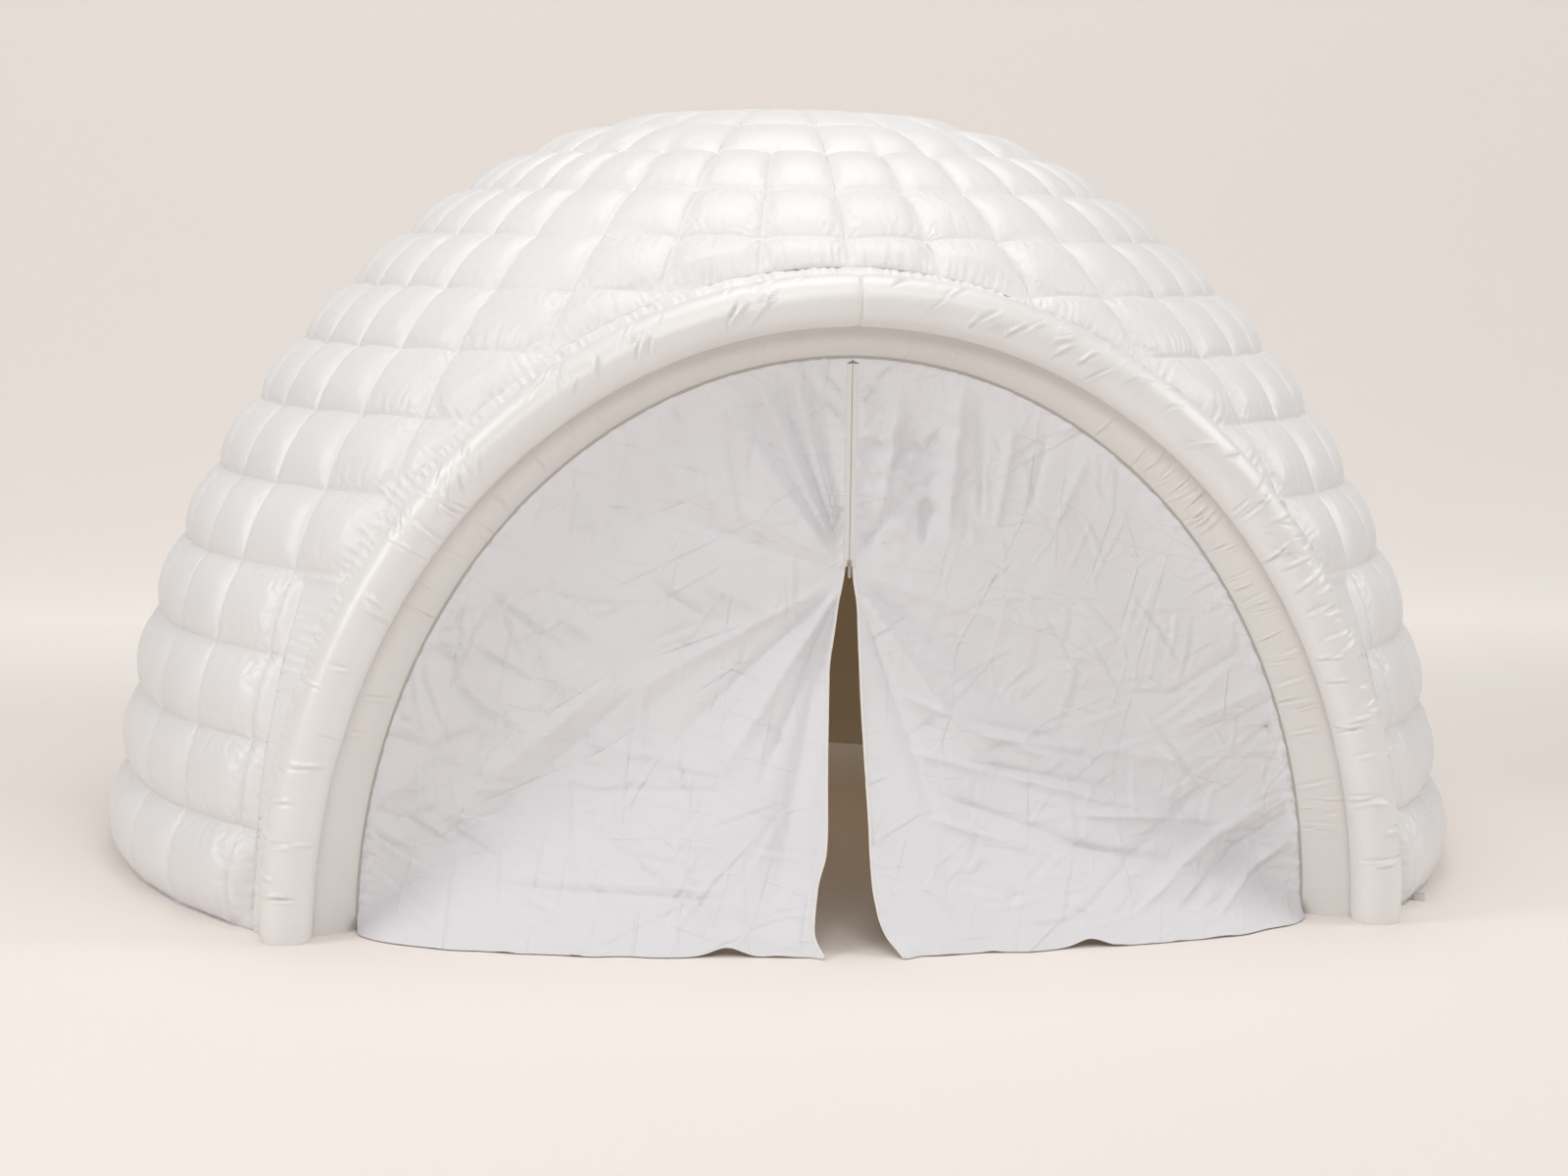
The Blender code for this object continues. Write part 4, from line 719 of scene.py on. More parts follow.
def make_outer_skin():
    lengths = [WALL.foot, *ROW_LENGTHS]
    panels = panel_azimuths(FRONT_COLUMNS, GORE_COLUMNS)
    for seed, (word, azimuths) in enumerate(panels.items()):
        cells = wall_cells(WALL, lengths, azimuths, outer_rises, OUTER_DOOR)
        beside_door = word.endswith("_panel") or word.endswith("_1")
        skin = quilt_sheet(f"quilt_{word}", cells, OUTER_SWATCHES, "satin", seed=seed + 3,
                           fine=near_door if beside_door else None)
        if beside_door:
            trim_to_door(skin, *OUTER_DOOR, tuck=0.07)
            flatten_strip(skin)
            gather(skin, *OUTER_DOOR, reach=0.10, depth=0.0055)
            turn_in(skin, *OUTER_DOOR, depth=0.024)
        finish_piece(skin, "root", SATIN, f"outer_{word}")


def make_lining():
    lengths = [LINING.foot, 0.0]
    lengths += [LINING_CAP_LENGTH * (i + 1) / LINING_ROWS for i in range(LINING_ROWS)]
    panels = panel_azimuths(LINING_FRONT_COLUMNS, LINING_GORE_COLUMNS)
    for word, azimuths in panels.items():
        cells = wall_cells(LINING, lengths, azimuths, lining_rises, LINING_DOOR)
        skin = quilt_sheet(f"lining_{word}_cloth", cells, LINING_SWATCH, "lining", way=-1.0)
        if word.endswith("_panel") or word.endswith("_1"):
            trim_to_door(skin, *LINING_DOOR, tuck=0.0)
        finish_piece(skin, "root", LINING_CLOTH, f"lining_{word}")


def cap_cells(meridian, edge, azimuths, puff, seam, edge_seam):
    """Cells of the round crown panel: rings with half as many columns as the gores."""
    pitch = (meridian.top - edge) / (CAP_RINGS + 0.5)
    count = len(azimuths)
    cells = []
    for column in range(0, count, 2):
        left, tie = azimuths[column], azimuths[(column + 1) % count]
        right = azimuths[(column + 2) % count]
        for ring in range(CAP_RINGS + 1):
            low = edge + pitch * ring
            high = min(edge + pitch * (ring + 1), meridian.top)
            corners = corners_of(meridian, left, right, low, high)
            if ring == 0:
                corners.append(wall_corner(meridian, tie, low))
            fade = (CAP_RINGS - ring) / CAP_RINGS
            low_seam = edge_seam if ring == 0 else seam / 2 * fade
            rises = (puff * fade, low_seam, seam / 2 * max(0.0, fade - 1 / CAP_RINGS),
                     seam * fade, seam * fade)
            cells.append((corners, rises, ring, column))
    return cells


def make_crown_caps():
    azimuths = all_azimuths(FRONT_COLUMNS, GORE_COLUMNS)
    cells = cap_cells(WALL, CAP_LENGTH, azimuths, CROWN_PUFF_RISE, COLUMN_SEAM_RISE,
                      ROW_SEAM_RISE)
    cap = quilt_sheet("quilt_crown_cap", cells, OUTER_SWATCHES, "satin", seed=29)
    finish_piece(cap, "root", SATIN, "outer_crown_cap")
    azimuths = all_azimuths(LINING_FRONT_COLUMNS, LINING_GORE_COLUMNS)
    cells = cap_cells(LINING, LINING_CAP_LENGTH, azimuths, LINING_PUFF_RISE, LINING_SEAM_RISE,
                      LINING_SEAM_RISE / 2)
    cap = quilt_sheet("lining_crown_cloth", cells, LINING_SWATCH, "lining", way=-1.0)
    finish_piece(cap, "root", LINING_CLOTH, "lining_crown_cap")


def finish_piece(piece, body, material, *nodes):
    """Give a piece its cloth and its body, and hide the solids that it stands for."""
    piece.data.materials.clear()
    piece.data.materials.append(material)
    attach(piece, body)
    if nodes:
        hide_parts(*nodes)


# Arch tube, collar and reveal


def keep_to_side(points, side):
    """Keep a half's points above the floor and put them on their own side."""
    points[..., 2] = np.maximum(points[..., 2], 0.0)
    points[..., 0] = np.maximum(points[..., 0], 0.0) * side


def oval(turn, half_width, height, foot_y, crown_y):
    """Points along an arch. turn runs from 0 at the foot to a right angle at the crown."""
    rise = np.sin(turn)
    return np.stack([half_width * np.cos(turn), DOME_Y - foot_y - (crown_y - foot_y) * rise,
                     height * rise], -1)


def tube_line(turn):
    return oval(turn, ARCH_HALF_WIDTH, ARCH_HEIGHT, ARCH_FOOT_Y, ARCH_CROWN_Y)


def piping_line(turn):
    return oval(turn, PIPING_HALF_WIDTH, PIPING_HEIGHT, PIPING_FOOT_Y, PIPING_CROWN_Y)


def quilt_line(turn):
    """The quilted skin's cut edge round the doorway."""
    x = OUTER_DOOR[0] * np.cos(turn)
    z = OUTER_DOOR[1] * np.sin(turn)
    radius = WALL.radius_at_height(z)
    return np.stack([x, DOME_Y - np.sqrt(np.maximum(radius ** 2 - x ** 2, 0.0)), z], -1)


def arch_frames(turn):
    """Directions across the tube away from the doorway, and forward."""
    step = 1e-4
    along = unit(tube_line(turn + step) - tube_line(turn - step))
    forward = np.zeros_like(along)
    forward[:, 1] = -1.0
    across = unit(np.cross(forward, along))
    outward = tube_line(turn) * [1.0, 0.0, 1.0]
    across = across * np.sign(np.sum(across * outward, axis=1, keepdims=True))
    forward = unit(np.cross(along, across))
    return across, forward * -np.sign(forward[:, 1:2])


def arch_places(steps):
    """Turns along the arch, with the tube's centre line there and its run from the foot."""
    turn = np.linspace(0.0, math.pi / 2, steps + 1)
    centre = tube_line(turn)
    lengths = np.linalg.norm(np.diff(centre, axis=0), axis=1)
    return turn, centre, np.concatenate([[0.0], np.cumsum(lengths)])


def tube_marks(side, length):
    """Creases of the arch tube: level ones low on its legs and slanted ones above them."""
    rng = random.Random(40 + side)
    girth = 2 * math.pi * TUBE_RADIUS
    low = random_marks(rng, 46 if side > 0 else 20, (0.12, 1.35), (-0.02 * girth, 0.36 * girth),
                       (1.2, 1.75), (0.05, 0.14), (0.004, 0.007), (0.003, 0.0075))
    high = random_marks(rng, 46, (1.0, length - 0.1), (0.02 * girth, 0.30 * girth),
                        (0.5 * side, 1.0 * side), (0.04, 0.11), (0.003, 0.005), (0.003, 0.0070))
    return low + high


def make_arch_tubes():
    turn, centre, run = arch_places(TUBE_STEPS)
    across, forward = arch_frames(turn)
    angle = np.linspace(0.0, 2 * math.pi, TUBE_ROUND, endpoint=False)
    spread = angle.copy()
    spread[spread > 1.5 * math.pi] -= 2 * math.pi
    s, t = np.meshgrid(run, spread * TUBE_RADIUS, indexing="ij")
    spoke = across[:, None] * np.cos(angle)[None, :, None]
    spoke = spoke + forward[:, None] * np.sin(angle)[None, :, None]
    crown = run[-1] - s
    pinch = 1.0 - 0.07 * np.exp(-crown / 0.006) - 0.015 * np.exp(-crown / 0.05)
    for word, side in SIDES.items():
        radius = TUBE_RADIUS * pinch + creases(s, t, tube_marks(side, run[-1]))
        wrinkle = noise_field(s, t * 0.3, 0.0, 0.022, 5 + side)
        radius = radius + TUBE_WRINKLE * wrinkle * smooth_step(crown / run[-1])
        pucker = noise_field(s, t * 0.1, 0.0, 0.009, 8 + side)
        radius = radius + CROWN_PUCKER * pucker * np.exp(-crown / 0.03)
        radius = radius * (1.0 - FOOT_PINCH * np.exp(-s / 0.03))
        points = centre[:, None] + spoke * radius[..., None]
        points[0, :, 2] = 0.0
        keep_to_side(points, side)
        tube = grid_piece(f"arch_tube_{word}_satin", points, "satin", (s, t), side > 0, closed=True)
        close_ends(tube)
        finish_piece(tube, "root", TUBE_SATIN, f"arch_tube_{word}")


def close_ends(piece):
    """Close the open rims of a tube and turn its faces outwards."""
    with open_mesh(piece) as work:
        rims = [edge for edge in work.edges if edge.is_boundary]
        bmesh.ops.holes_fill(work, edges=rims, sides=0)
        bmesh.ops.recalc_face_normals(work, faces=work.faces)


def strip_between(run, inner, outer, columns, bulge, toward):
    """A strip from the inner to the outer line, swelling towards a side.

    Returns its points and normals, and each point's run from the foot and its share across.
    """
    s, share = np.meshgrid(run, np.linspace(0.0, 1.0, columns + 1), indexing="ij")
    points = inner[:, None] * (1 - share[..., None]) + outer[:, None] * share[..., None]
    normals = grid_normals(points, toward)
    swell = bulge * np.sin(math.pi * share)
    return points + normals * swell[..., None], normals, s, share


def make_collars():
    turn, centre, run = arch_places(COLLAR_STEPS)
    outer = quilt_line(turn)
    reach = np.linalg.norm(outer - centre, axis=1, keepdims=True)
    inner = centre + (outer - centre) * (SEAM_RADIUS / reach)
    outer = outer + (outer - centre) * (COLLAR_TUCK / reach)
    inward = unit((outer - [0.0, DOME_Y, 0.0]) * [1.0, 1.0, 0.6])
    shown = 1.0 - COLLAR_TUCK / (COLLAR_TUCK + COLLAR_REACH - SEAM_RADIUS * 0.5)
    toward = np.array([0.0, -1.0, 0.25])
    for word, side in SIDES.items():
        points, normals, s, share = strip_between(run, inner, outer, COLLAR_COLUMNS, COLLAR_SWELL,
                                                  toward)
        places = zip(s.ravel().tolist(), share.ravel().tolist())
        wave = np.array([arch_gathers(a, b * COLLAR_REACH, 4.0 + side) for a, b in places])
        wave = wave.reshape(s.shape) * COLLAR_GATHER * (0.35 + 0.65 * share) * smooth_step(share / 0.08)
        hidden = smooth_step((share - shown) / 0.30)
        points = points + normals * (wave * (1.0 - 0.7 * hidden))[..., None]
        points = points - inward[:, None] * (COLLAR_HIDDEN_DEPTH * hidden)[..., None]
        keep_to_side(points, side)
        strip = grid_piece(f"gathered_collar_{word}", points, "satin", (s, share), side < 0)
        finish_piece(strip, "root", TUBE_SATIN, f"collar_{word}")


def band_marks(side, length):
    """Creases that run across the reveal, most of them low on the right leg."""
    rng = random.Random(60 + side)
    marks = random_marks(rng, 54 if side > 0 else 12, (0.25, 1.75), (0.02, 0.10), (1.35, 1.8),
                         (0.05, 0.16), (0.003, 0.006), (0.0015, 0.0052))
    for run in (length - 0.30, length - 0.27, length - 0.16):
        marks.append((run, 0.05, math.pi / 2, 0.10, 0.004, 0.0016))
    return marks


def make_reveals():
    turn, centre, run = arch_places(TUBE_STEPS)
    edge = piping_line(turn)
    reach = np.linalg.norm(edge - centre, axis=1, keepdims=True)
    outer = centre + (edge - centre) * (SEAM_RADIUS / reach)
    inner = centre + (edge - centre) * (1.0 - PIPING_RADIUS * 0.6 / reach)
    toward = np.array([0.0, -1.0, 0.0])
    for word, side in SIDES.items():
        points, normals, s, share = strip_between(run, inner, outer, REVEAL_COLUMNS, REVEAL_SWELL,
                                                  toward)
        t = share * (reach[:, :1] - TUBE_RADIUS)
        depth = creases(s, t, band_marks(side, run[-1]))
        folds = noise_field(s, share * 0.02, 0.0, 0.024, 20 + side)
        depth = depth + REVEAL_CRUMPLE[word] * folds * smooth_step((1.9 - s) / 0.8)
        depth = depth * np.sin(math.pi * np.clip(share, 0.04, 0.96)) ** 0.5
        points = points + normals * depth[..., None]
        keep_to_side(points, side)
        band = grid_piece(f"reveal_{word}_satin", points, "satin", (s, t), side < 0)
        # The reveal's satin is painted darker, as painted shade for the inside of the arch
        finish_piece(band, "root", REVEAL_SATIN_PAINTED_SHADE, f"reveal_band_{word}")


def cord_along(name, line, radius, resolution):
    """A round cord along a line of points. resolution says how many sides it has."""
    bpy.ops.object.select_all(action="DESELECT")
    bpy.ops.curve.primitive_bezier_curve_add(location=(0.0, 0.0, 0.0))
    cord = bpy.context.object
    cord.name = name
    cord.data.splines.clear()
    spline = cord.data.splines.new("POLY")
    spline.points.add(len(line) - 1)
    for point, place in zip(spline.points, line):
        point.co = (*place, 1.0)
    cord.data.dimensions = "3D"
    cord.data.bevel_depth = radius
    cord.data.bevel_resolution = resolution
    cord.data.use_fill_caps = True
    bpy.ops.object.convert(target="MESH")
    return bpy.context.object


def make_pipings():
    """The corded edge round the doorway, one run on each side."""
    start = math.asin(PIPING_RADIUS / PIPING_HEIGHT)
    turn = np.linspace(start, math.pi / 2, 161)
    for word, side in SIDES.items():
        line = piping_line(turn) * [side, 1.0, 1.0]
        cord = cord_along(f"piping_{word}_cord", line, PIPING_RADIUS, 3)
        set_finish(cord, "piping")
        finish_piece(cord, "root", PIPING, f"door_piping_{word}")


def make_zigzag():
    """The zigzag stitching of the flat strips beside the arch's legs."""
    heights = np.arange(STITCH_FOOT, STITCH_TOP - 0.045, STITCH_PITCH / 2)
    for word, side in SIDES.items():
        sway = np.where(np.arange(len(heights)) % 2, 1.0, -1.0) * STITCH_HALF_WIDTH
        radius = WALL.radius_at_height(heights) + STRIP_RISE + THREAD_RADIUS / 2
        turn = math.radians(STITCH_DEG) + sway / radius
        line = np.stack([side * radius * np.sin(turn), DOME_Y - radius * np.cos(turn), heights], -1)
        thread = cord_along(f"zigzag_stitch_{word}", line, THREAD_RADIUS, 1)
        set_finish(thread, "satin")
        finish_piece(thread, "root", THREAD)


def make_jambs():
    """The lining of the doorway, from the piping back to the inner lining."""
    turn, _, run = arch_places(JAMB_STEPS)
    edge = piping_line(turn) + [0.0, PIPING_RADIUS, 0.0]
    rear = edge.copy()
    radius = LINING.radius_at_height(edge[:, 2])
    rear[:, 1] = DOME_Y - np.sqrt(np.maximum(radius ** 2 - edge[:, 0] ** 2, 0.0))
    for word, side in SIDES.items():
        points, normals, s, share = strip_between(run, edge, rear, JAMB_COLUMNS, 0.0,
                                                  -edge[:, None] * [1, 0, 1])
        sag = noise_field(s, share * 0.05, side, 0.06, 51) * JAMB_SAG
        points = points + normals * (sag * np.sin(math.pi * share))[..., None]
        points[..., 2] = np.maximum(points[..., 2], 0.0)
        points[..., 0] *= side
        jamb = grid_piece(f"jamb_{word}_cloth", points, "lining", (s, share), side > 0)
        finish_piece(jamb, "root", LINING_CLOTH, f"jamb_lining_{word}")


# Air inlet

INLET_AZIMUTH_DEG = 139.5
INLET_HEIGHT = 0.150
INLET_RADIUS = 0.105
INLET_START = -0.03
INLET_REACH = 0.46
INLET_TIE_RUN = 0.367
INLET_RUNS = (-0.03, 0.10, 0.20, 0.29, 0.345, 0.367, 0.39, 0.425, 0.46)
INLET_WIDE = (1.0, 1.0, 0.92, 0.56, 0.25, 0.21, 0.26, 0.52, 0.70)
INLET_TALL = (1.0, 1.0, 0.80, 0.42, 0.21, 0.19, 0.20, 0.24, 0.20)


def make_inlet():
    """The limp filling sleeve at the back, tied off near its end, with gathers at the tie."""
    stations, round_steps, mouth_depth, ring_run = 150, 96, 0.05, 0.003
    run = np.linspace(INLET_START, INLET_REACH, stations)
    kernel = np.hanning(13) / np.hanning(13).sum()
    wide, tall = [np.convolve(np.pad(np.interp(run, INLET_RUNS, sizes), 6, mode="edge"), kernel,
                              mode="valid") for sizes in (INLET_WIDE, INLET_TALL)]
    angle = np.linspace(0.0, 2 * math.pi, round_steps, endpoint=False)
    s, a = np.meshgrid(run, angle, indexing="ij")
    tied = np.exp(-((s - INLET_TIE_RUN) / 0.075) ** 2)
    place = (np.cos(a) * 0.9, np.sin(a) * 0.9, s * 2.2)
    folds = noise_field(*place, 0.32, 61)
    pleats = np.cos(11 * a + 2.0 * noise_field(*place, 0.7, 63))
    limp = smooth_step((s - 0.02) / 0.10)
    size = 1.0 + limp * (0.07 * folds + 0.13 * pleats * tied)
    turn = math.radians(INLET_AZIMUTH_DEG)
    outward = np.array([math.sin(turn), -math.cos(turn), 0.0])
    sideways = np.array([math.cos(turn), math.sin(turn), 0.0])
    flat = INLET_RADIUS * wide[:, None] * size
    high = INLET_RADIUS * tall[:, None] * size
    centre = np.where(tall > 0.97, INLET_HEIGHT, np.maximum(INLET_RADIUS * tall * 1.12 + 0.001,
                                                            INLET_HEIGHT * tall))
    points = (outward * (HEM_RADIUS + s)[..., None] + sideways * (flat * np.cos(a))[..., None])
    points = points + [0.0, DOME_Y, 0.0]
    points[..., 2] = centre[:, None] + high * np.sin(a)
    inside = points[::-1][:int(stations * mouth_depth / (INLET_REACH - INLET_START))].copy()
    middle = inside.mean(axis=1, keepdims=True)
    inside = middle + (inside - middle) * 0.94
    points = np.concatenate([points, inside])
    points[..., 2] = np.maximum(points[..., 2], 0.0006)
    uv = np.meshgrid(np.arange(len(points)) * ring_run, INLET_RADIUS * angle, indexing="ij")
    sleeve = grid_piece("inlet_sleeve_satin", points, "satin", uv, closed=True)
    close_ends(sleeve)
    finish_piece(sleeve, "root", SATIN, "inlet_sleeve")


# Curtain


def fold_end():
    """Where the flap's slanted fold meets the piping."""
    turn = math.asin(FOLD_START_HEIGHT / PIPING_HEIGHT)
    return piping_line(np.array([turn]))[0]


# Long soft folds of each half in front view, in millimetres: the distance from the middle and
# the height of both ends, then the width and the depth
CURTAIN_FOLDS = {
    "left": (
        (10, 970, 460, 1560, 22, 12), (10, 980, 380, 1580, 18, -14), (10, 980, 310, 1600, 17, 18),
        (10, 990, 250, 1600, 15, -17), (10, 1000, 190, 1600, 14, 17), (10, 1020, 140, 1600, 12, -13),
        (10, 1360, 220, 1580, 10, 10), (10, 1430, 140, 1580, 8, -8), (10, 970, 660, 1340, 26, 8),
        (10, 970, 820, 1240, 30, -8), (300, 1160, 360, 1480, 11, -6), (420, 1200, 470, 1420, 10, 6),
        (10, 960, 740, 560, 26, 10), (10, 950, 520, 460, 22, -14), (10, 950, 380, 400, 18, 15),
        (10, 940, 280, 340, 16, -14), (10, 930, 160, 160, 24, 16), (20, 920, 260, -40, 55, -34),
        (300, 440, 800, 520, 14, 6), (280, 400, 860, 380, 12, -6), (300, 135, 1060, 150, 7, -6),
        (300, 155, 1020, 172, 9, 5), (600, 700, 1200, 220, 34, 10), (520, 700, 1080, 180, 28, -9)),
    "right": (
        (10, 1440, 160, 1560, 10, -10), (10, 1400, 110, 1560, 10, 12), (270, 1060, 300, 1540, 24, 18),
        (200, 1020, 240, 1400, 17, -20), (80, 1100, 140, 1460, 18, 20), (20, 1020, 200, 1220, 18, -16),
        (360, 1100, 350, 1460, 10, -9), (400, 1060, 450, 1400, 11, 9), (480, 1100, 550, 1380, 10, -8),
        (560, 1080, 660, 1300, 10, 6), (10, 970, 600, 780, 26, 10), (10, 960, 520, 560, 22, -13),
        (20, 940, 400, 400, 18, 13), (30, 900, 260, 200, 18, -11), (100, 660, 660, 420, 17, 14),
        (200, 600, 860, 440, 14, -10), (300, 540, 1080, 420, 18, 12), (260, 480, 900, 330, 13, -13),
        (360, 440, 1040, 270, 18, 14), (200, 400, 800, 170, 15, -11), (140, 500, 420, 430, 12, 10),
        (160, 340, 560, 220, 13, 8), (580, 320, 1200, 260, 16, 15), (500, 260, 1160, 110, 20, -15),
        (740, 60, 1280, 360, 18, 18), (860, 40, 1300, 300, 16, -18), (980, 30, 1300, 230, 14, 18),
        (660, 120, 1080, 400, 13, -10), (900, 520, 1260, 680, 16, 7), (860, 600, 1220, 820, 14, -7))}


def fold_depth(x, z, folds):
    """Depth of the long folds at each place in front view."""
    depth = np.zeros_like(x)
    for row in folds:
        x0, z0, x1, z1, width, height = [value / 1000 for value in row]
        dx, dz = x1 - x0, z1 - z0
        length = math.hypot(dx, dz)
        along = ((x - x0) * dx + (z - z0) * dz) / length ** 2
        beside = ((z - z0) * dx - (x - x0) * dz) / length
        wide = width * (0.45 + 1.1 * np.clip(along, 0.0, 1.0))
        reach = smooth_step(along / 0.22) * smooth_step((1.0 - along) / 0.30)
        depth += height * reach * np.exp(-np.abs(beside / wide) ** 1.5)
    return depth


def curtain_marks(side):
    """Crease lines pressed into the folded cotton, as (x, z, turn, length, width, depth)."""
    rng = random.Random(80 + side)
    marks = []

    def press(x, z, leans, spread, *ranges):
        lean = rng.choice(leans) + rng.uniform(-spread, spread)
        length, width, depth = [rng.uniform(low, high) for low, high in ranges]
        marks.append((x, z, lean, length, width, depth * rng.choice((-1, 1))))

    for _ in range(150):
        x = PIPING_HALF_WIDTH * rng.random() ** 0.8
        press(x, 0.05 + 0.85 * rng.random(), (0.15, 0.5, 0.6, 1.3, 1.5, 2.2, 2.9), 0.15,
              (0.08, 0.34), (0.006, 0.010), (0.0022, 0.0050))
    for _ in range(40):
        press(rng.uniform(0.15, 0.75), rng.uniform(1.05, 1.45), (1.2, 1.5, 1.9, 0.4), 0.2,
              (0.06, 0.20), (0.005, 0.008), (0.002, 0.0045))
    return marks


def curtain_crumple(x, z, side):
    """Soft crumples of cotton that was folded away, stronger beside the zip on the right."""
    flat = (x, z * 0.9, side)
    broad = noise_field(*flat, 0.26, 33) * 0.014 + noise_field(*flat, 0.10, 34) * 0.0035
    if side > 0:
        patch = np.exp(-((x - 0.16) / 0.14) ** 2 - ((z - 1.25) / 0.20) ** 2)
        broad = broad - patch * np.abs(noise_field(*flat, 0.085, 36)) * 0.060
        broad = broad - patch * np.abs(noise_field(*flat, 0.045, 37)) * 0.022
    return broad + creases(x, z, curtain_marks(side))


def slit_open(word, down):
    """Half opening of the slit, smoothed between its measured places."""
    near = np.clip(down + np.array([-0.02, -0.01, 0.0, 0.01, 0.02]), 0.0, 1.0)
    return float(np.interp(near, *zip(*SLIT_OPENING[word])).mean())


def make_slit_binding(word, side, edge):
    """The bound edge of one curtain half beside the open slit. Returns it."""
    inner = np.array([slit_open(word, down) for down in np.linspace(0.0, 1.0, len(edge))])
    inner = np.minimum(inner, edge[:, 0] - BINDING_LAP / 2)
    outer = edge[:, 0] + BINDING_LAP
    angle = np.linspace(0.0, 2 * math.pi, 12, endpoint=False)
    middle, half = (inner + outer) / 2, (outer - inner) / 2
    x = middle[:, None] + half[:, None] * np.cos(angle)
    y = edge[:, 1][:, None] - 0.0006 + BINDING_THICKNESS / 2 * np.sin(angle)
    z = edge[:, 2][:, None] + 0 * x
    pucker = noise_field(z, 0.0, side, 0.016, 71)
    points = np.stack([x * side, y + 0.0008 * pucker, np.maximum(z, 0.0012)], -1)
    strip = grid_piece(f"slit_binding_{word}", points, "zip_tape", (z, x), closed=True)
    close_ends(strip)
    strip.data.materials.append(BINDING)
    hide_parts(f"slit_edge_{word}")
    return strip


def curtain_lines(word, foot):
    """A curtain half without its folds: from the piping to the fold, and on down to the floor."""
    share = np.sin(np.linspace(0.0, 1.0, CURTAIN_COLUMNS + 1) * math.pi / 2)
    x_top = SLIT_TOP_HALF + (foot[0] - SLIT_TOP_HALF) * share
    turn = np.arccos(np.clip(x_top / PIPING_HALF_WIDTH, 0.0, 1.0))
    inset = PIPING_RADIUS / 2
    top = piping_line(turn) - np.stack([np.cos(turn), turn * 0, np.sin(turn)], -1) * inset
    fold = np.stack([x_top, DOME_Y - PIPING_CROWN_Y + (foot[1] - DOME_Y + PIPING_CROWN_Y) * share,
                     SLIT_HEIGHT + (foot[2] - SLIT_HEIGHT) * share], -1)
    slit_foot = SLIT_OPENING[word][-1][1]
    x_low = slit_foot + (foot[0] - slit_foot) * share
    bow = np.sqrt(np.maximum(0.0, 1.0 - (x_low / PIPING_HALF_WIDTH) ** 2))
    y_low = DOME_Y - CURTAIN_SIDE_TOE - (CURTAIN_TOE - CURTAIN_SIDE_TOE) * bow
    low = np.stack([x_low, y_low, x_low * 0 + CURTAIN_LIFT], -1)
    rows = [top + (fold - top) * (row / UPPER_ROWS) for row in range(UPPER_ROWS + 1)]
    for row in range(1, LOWER_ROWS + 1):
        down = row / LOWER_ROWS
        line = fold + (low - fold) * down
        line[:, 1] = fold[:, 1] + (low[:, 1] - fold[:, 1]) * down ** 1.5
        opened = max(SLIT_TOP_HALF, slit_open(word, down) + BINDING_LAP)
        beside = line[:, 0] - line[0, 0]
        line[:, 0] += (opened - line[0, 0]) * np.exp(-beside / 0.20)
        rows.append(line)
    return np.array(rows)


def curtain_relief(x, z, word, side):
    """How far a curtain half stands forward in its folds, its gathers and its creases."""
    depth = fold_depth(x, z, CURTAIN_FOLDS[word]) * FOLD_GAIN + curtain_crumple(x, z, side)
    from_piping = 1.0 - np.sqrt((x / PIPING_HALF_WIDTH) ** 2 + (z / PIPING_HEIGHT) ** 2)
    from_piping = np.maximum(from_piping, 0.0) * PIPING_HEIGHT
    ring = np.arctan2(z / PIPING_HEIGHT, x / PIPING_HALF_WIDTH) * 1.43
    pucker = noise_field(ring, from_piping * 0.25, side, 0.020, 41)
    seam = np.exp(-(from_piping / 0.05) ** 2)
    leaves_seam = smooth_step(from_piping / 0.004)
    depth = depth * smooth_step(from_piping / 0.05) + SEAM_GATHER * pucker * seam * leaves_seam
    fold_over = smooth_step((ALLOWANCE_WIDTH - from_piping) / 0.003)
    depth = depth + ALLOWANCE_RISE * fold_over * leaves_seam
    from_zip = x - SLIT_TOP_HALF
    zip_near = np.exp(-(from_zip / 0.03) ** 2) * smooth_step((z - SLIT_HEIGHT) / 0.05)
    zip_near = zip_near * smooth_step((PIPING_HEIGHT - 0.06 - z) / 0.06)
    gathers = noise_field(z, x * 0.5, side, 0.019, 43)
    zip_fade = smooth_step(from_zip / 0.02 + (z < SLIT_HEIGHT))
    return depth * zip_fade + ZIP_GATHER * gathers * zip_near * smooth_step(from_zip / 0.006)


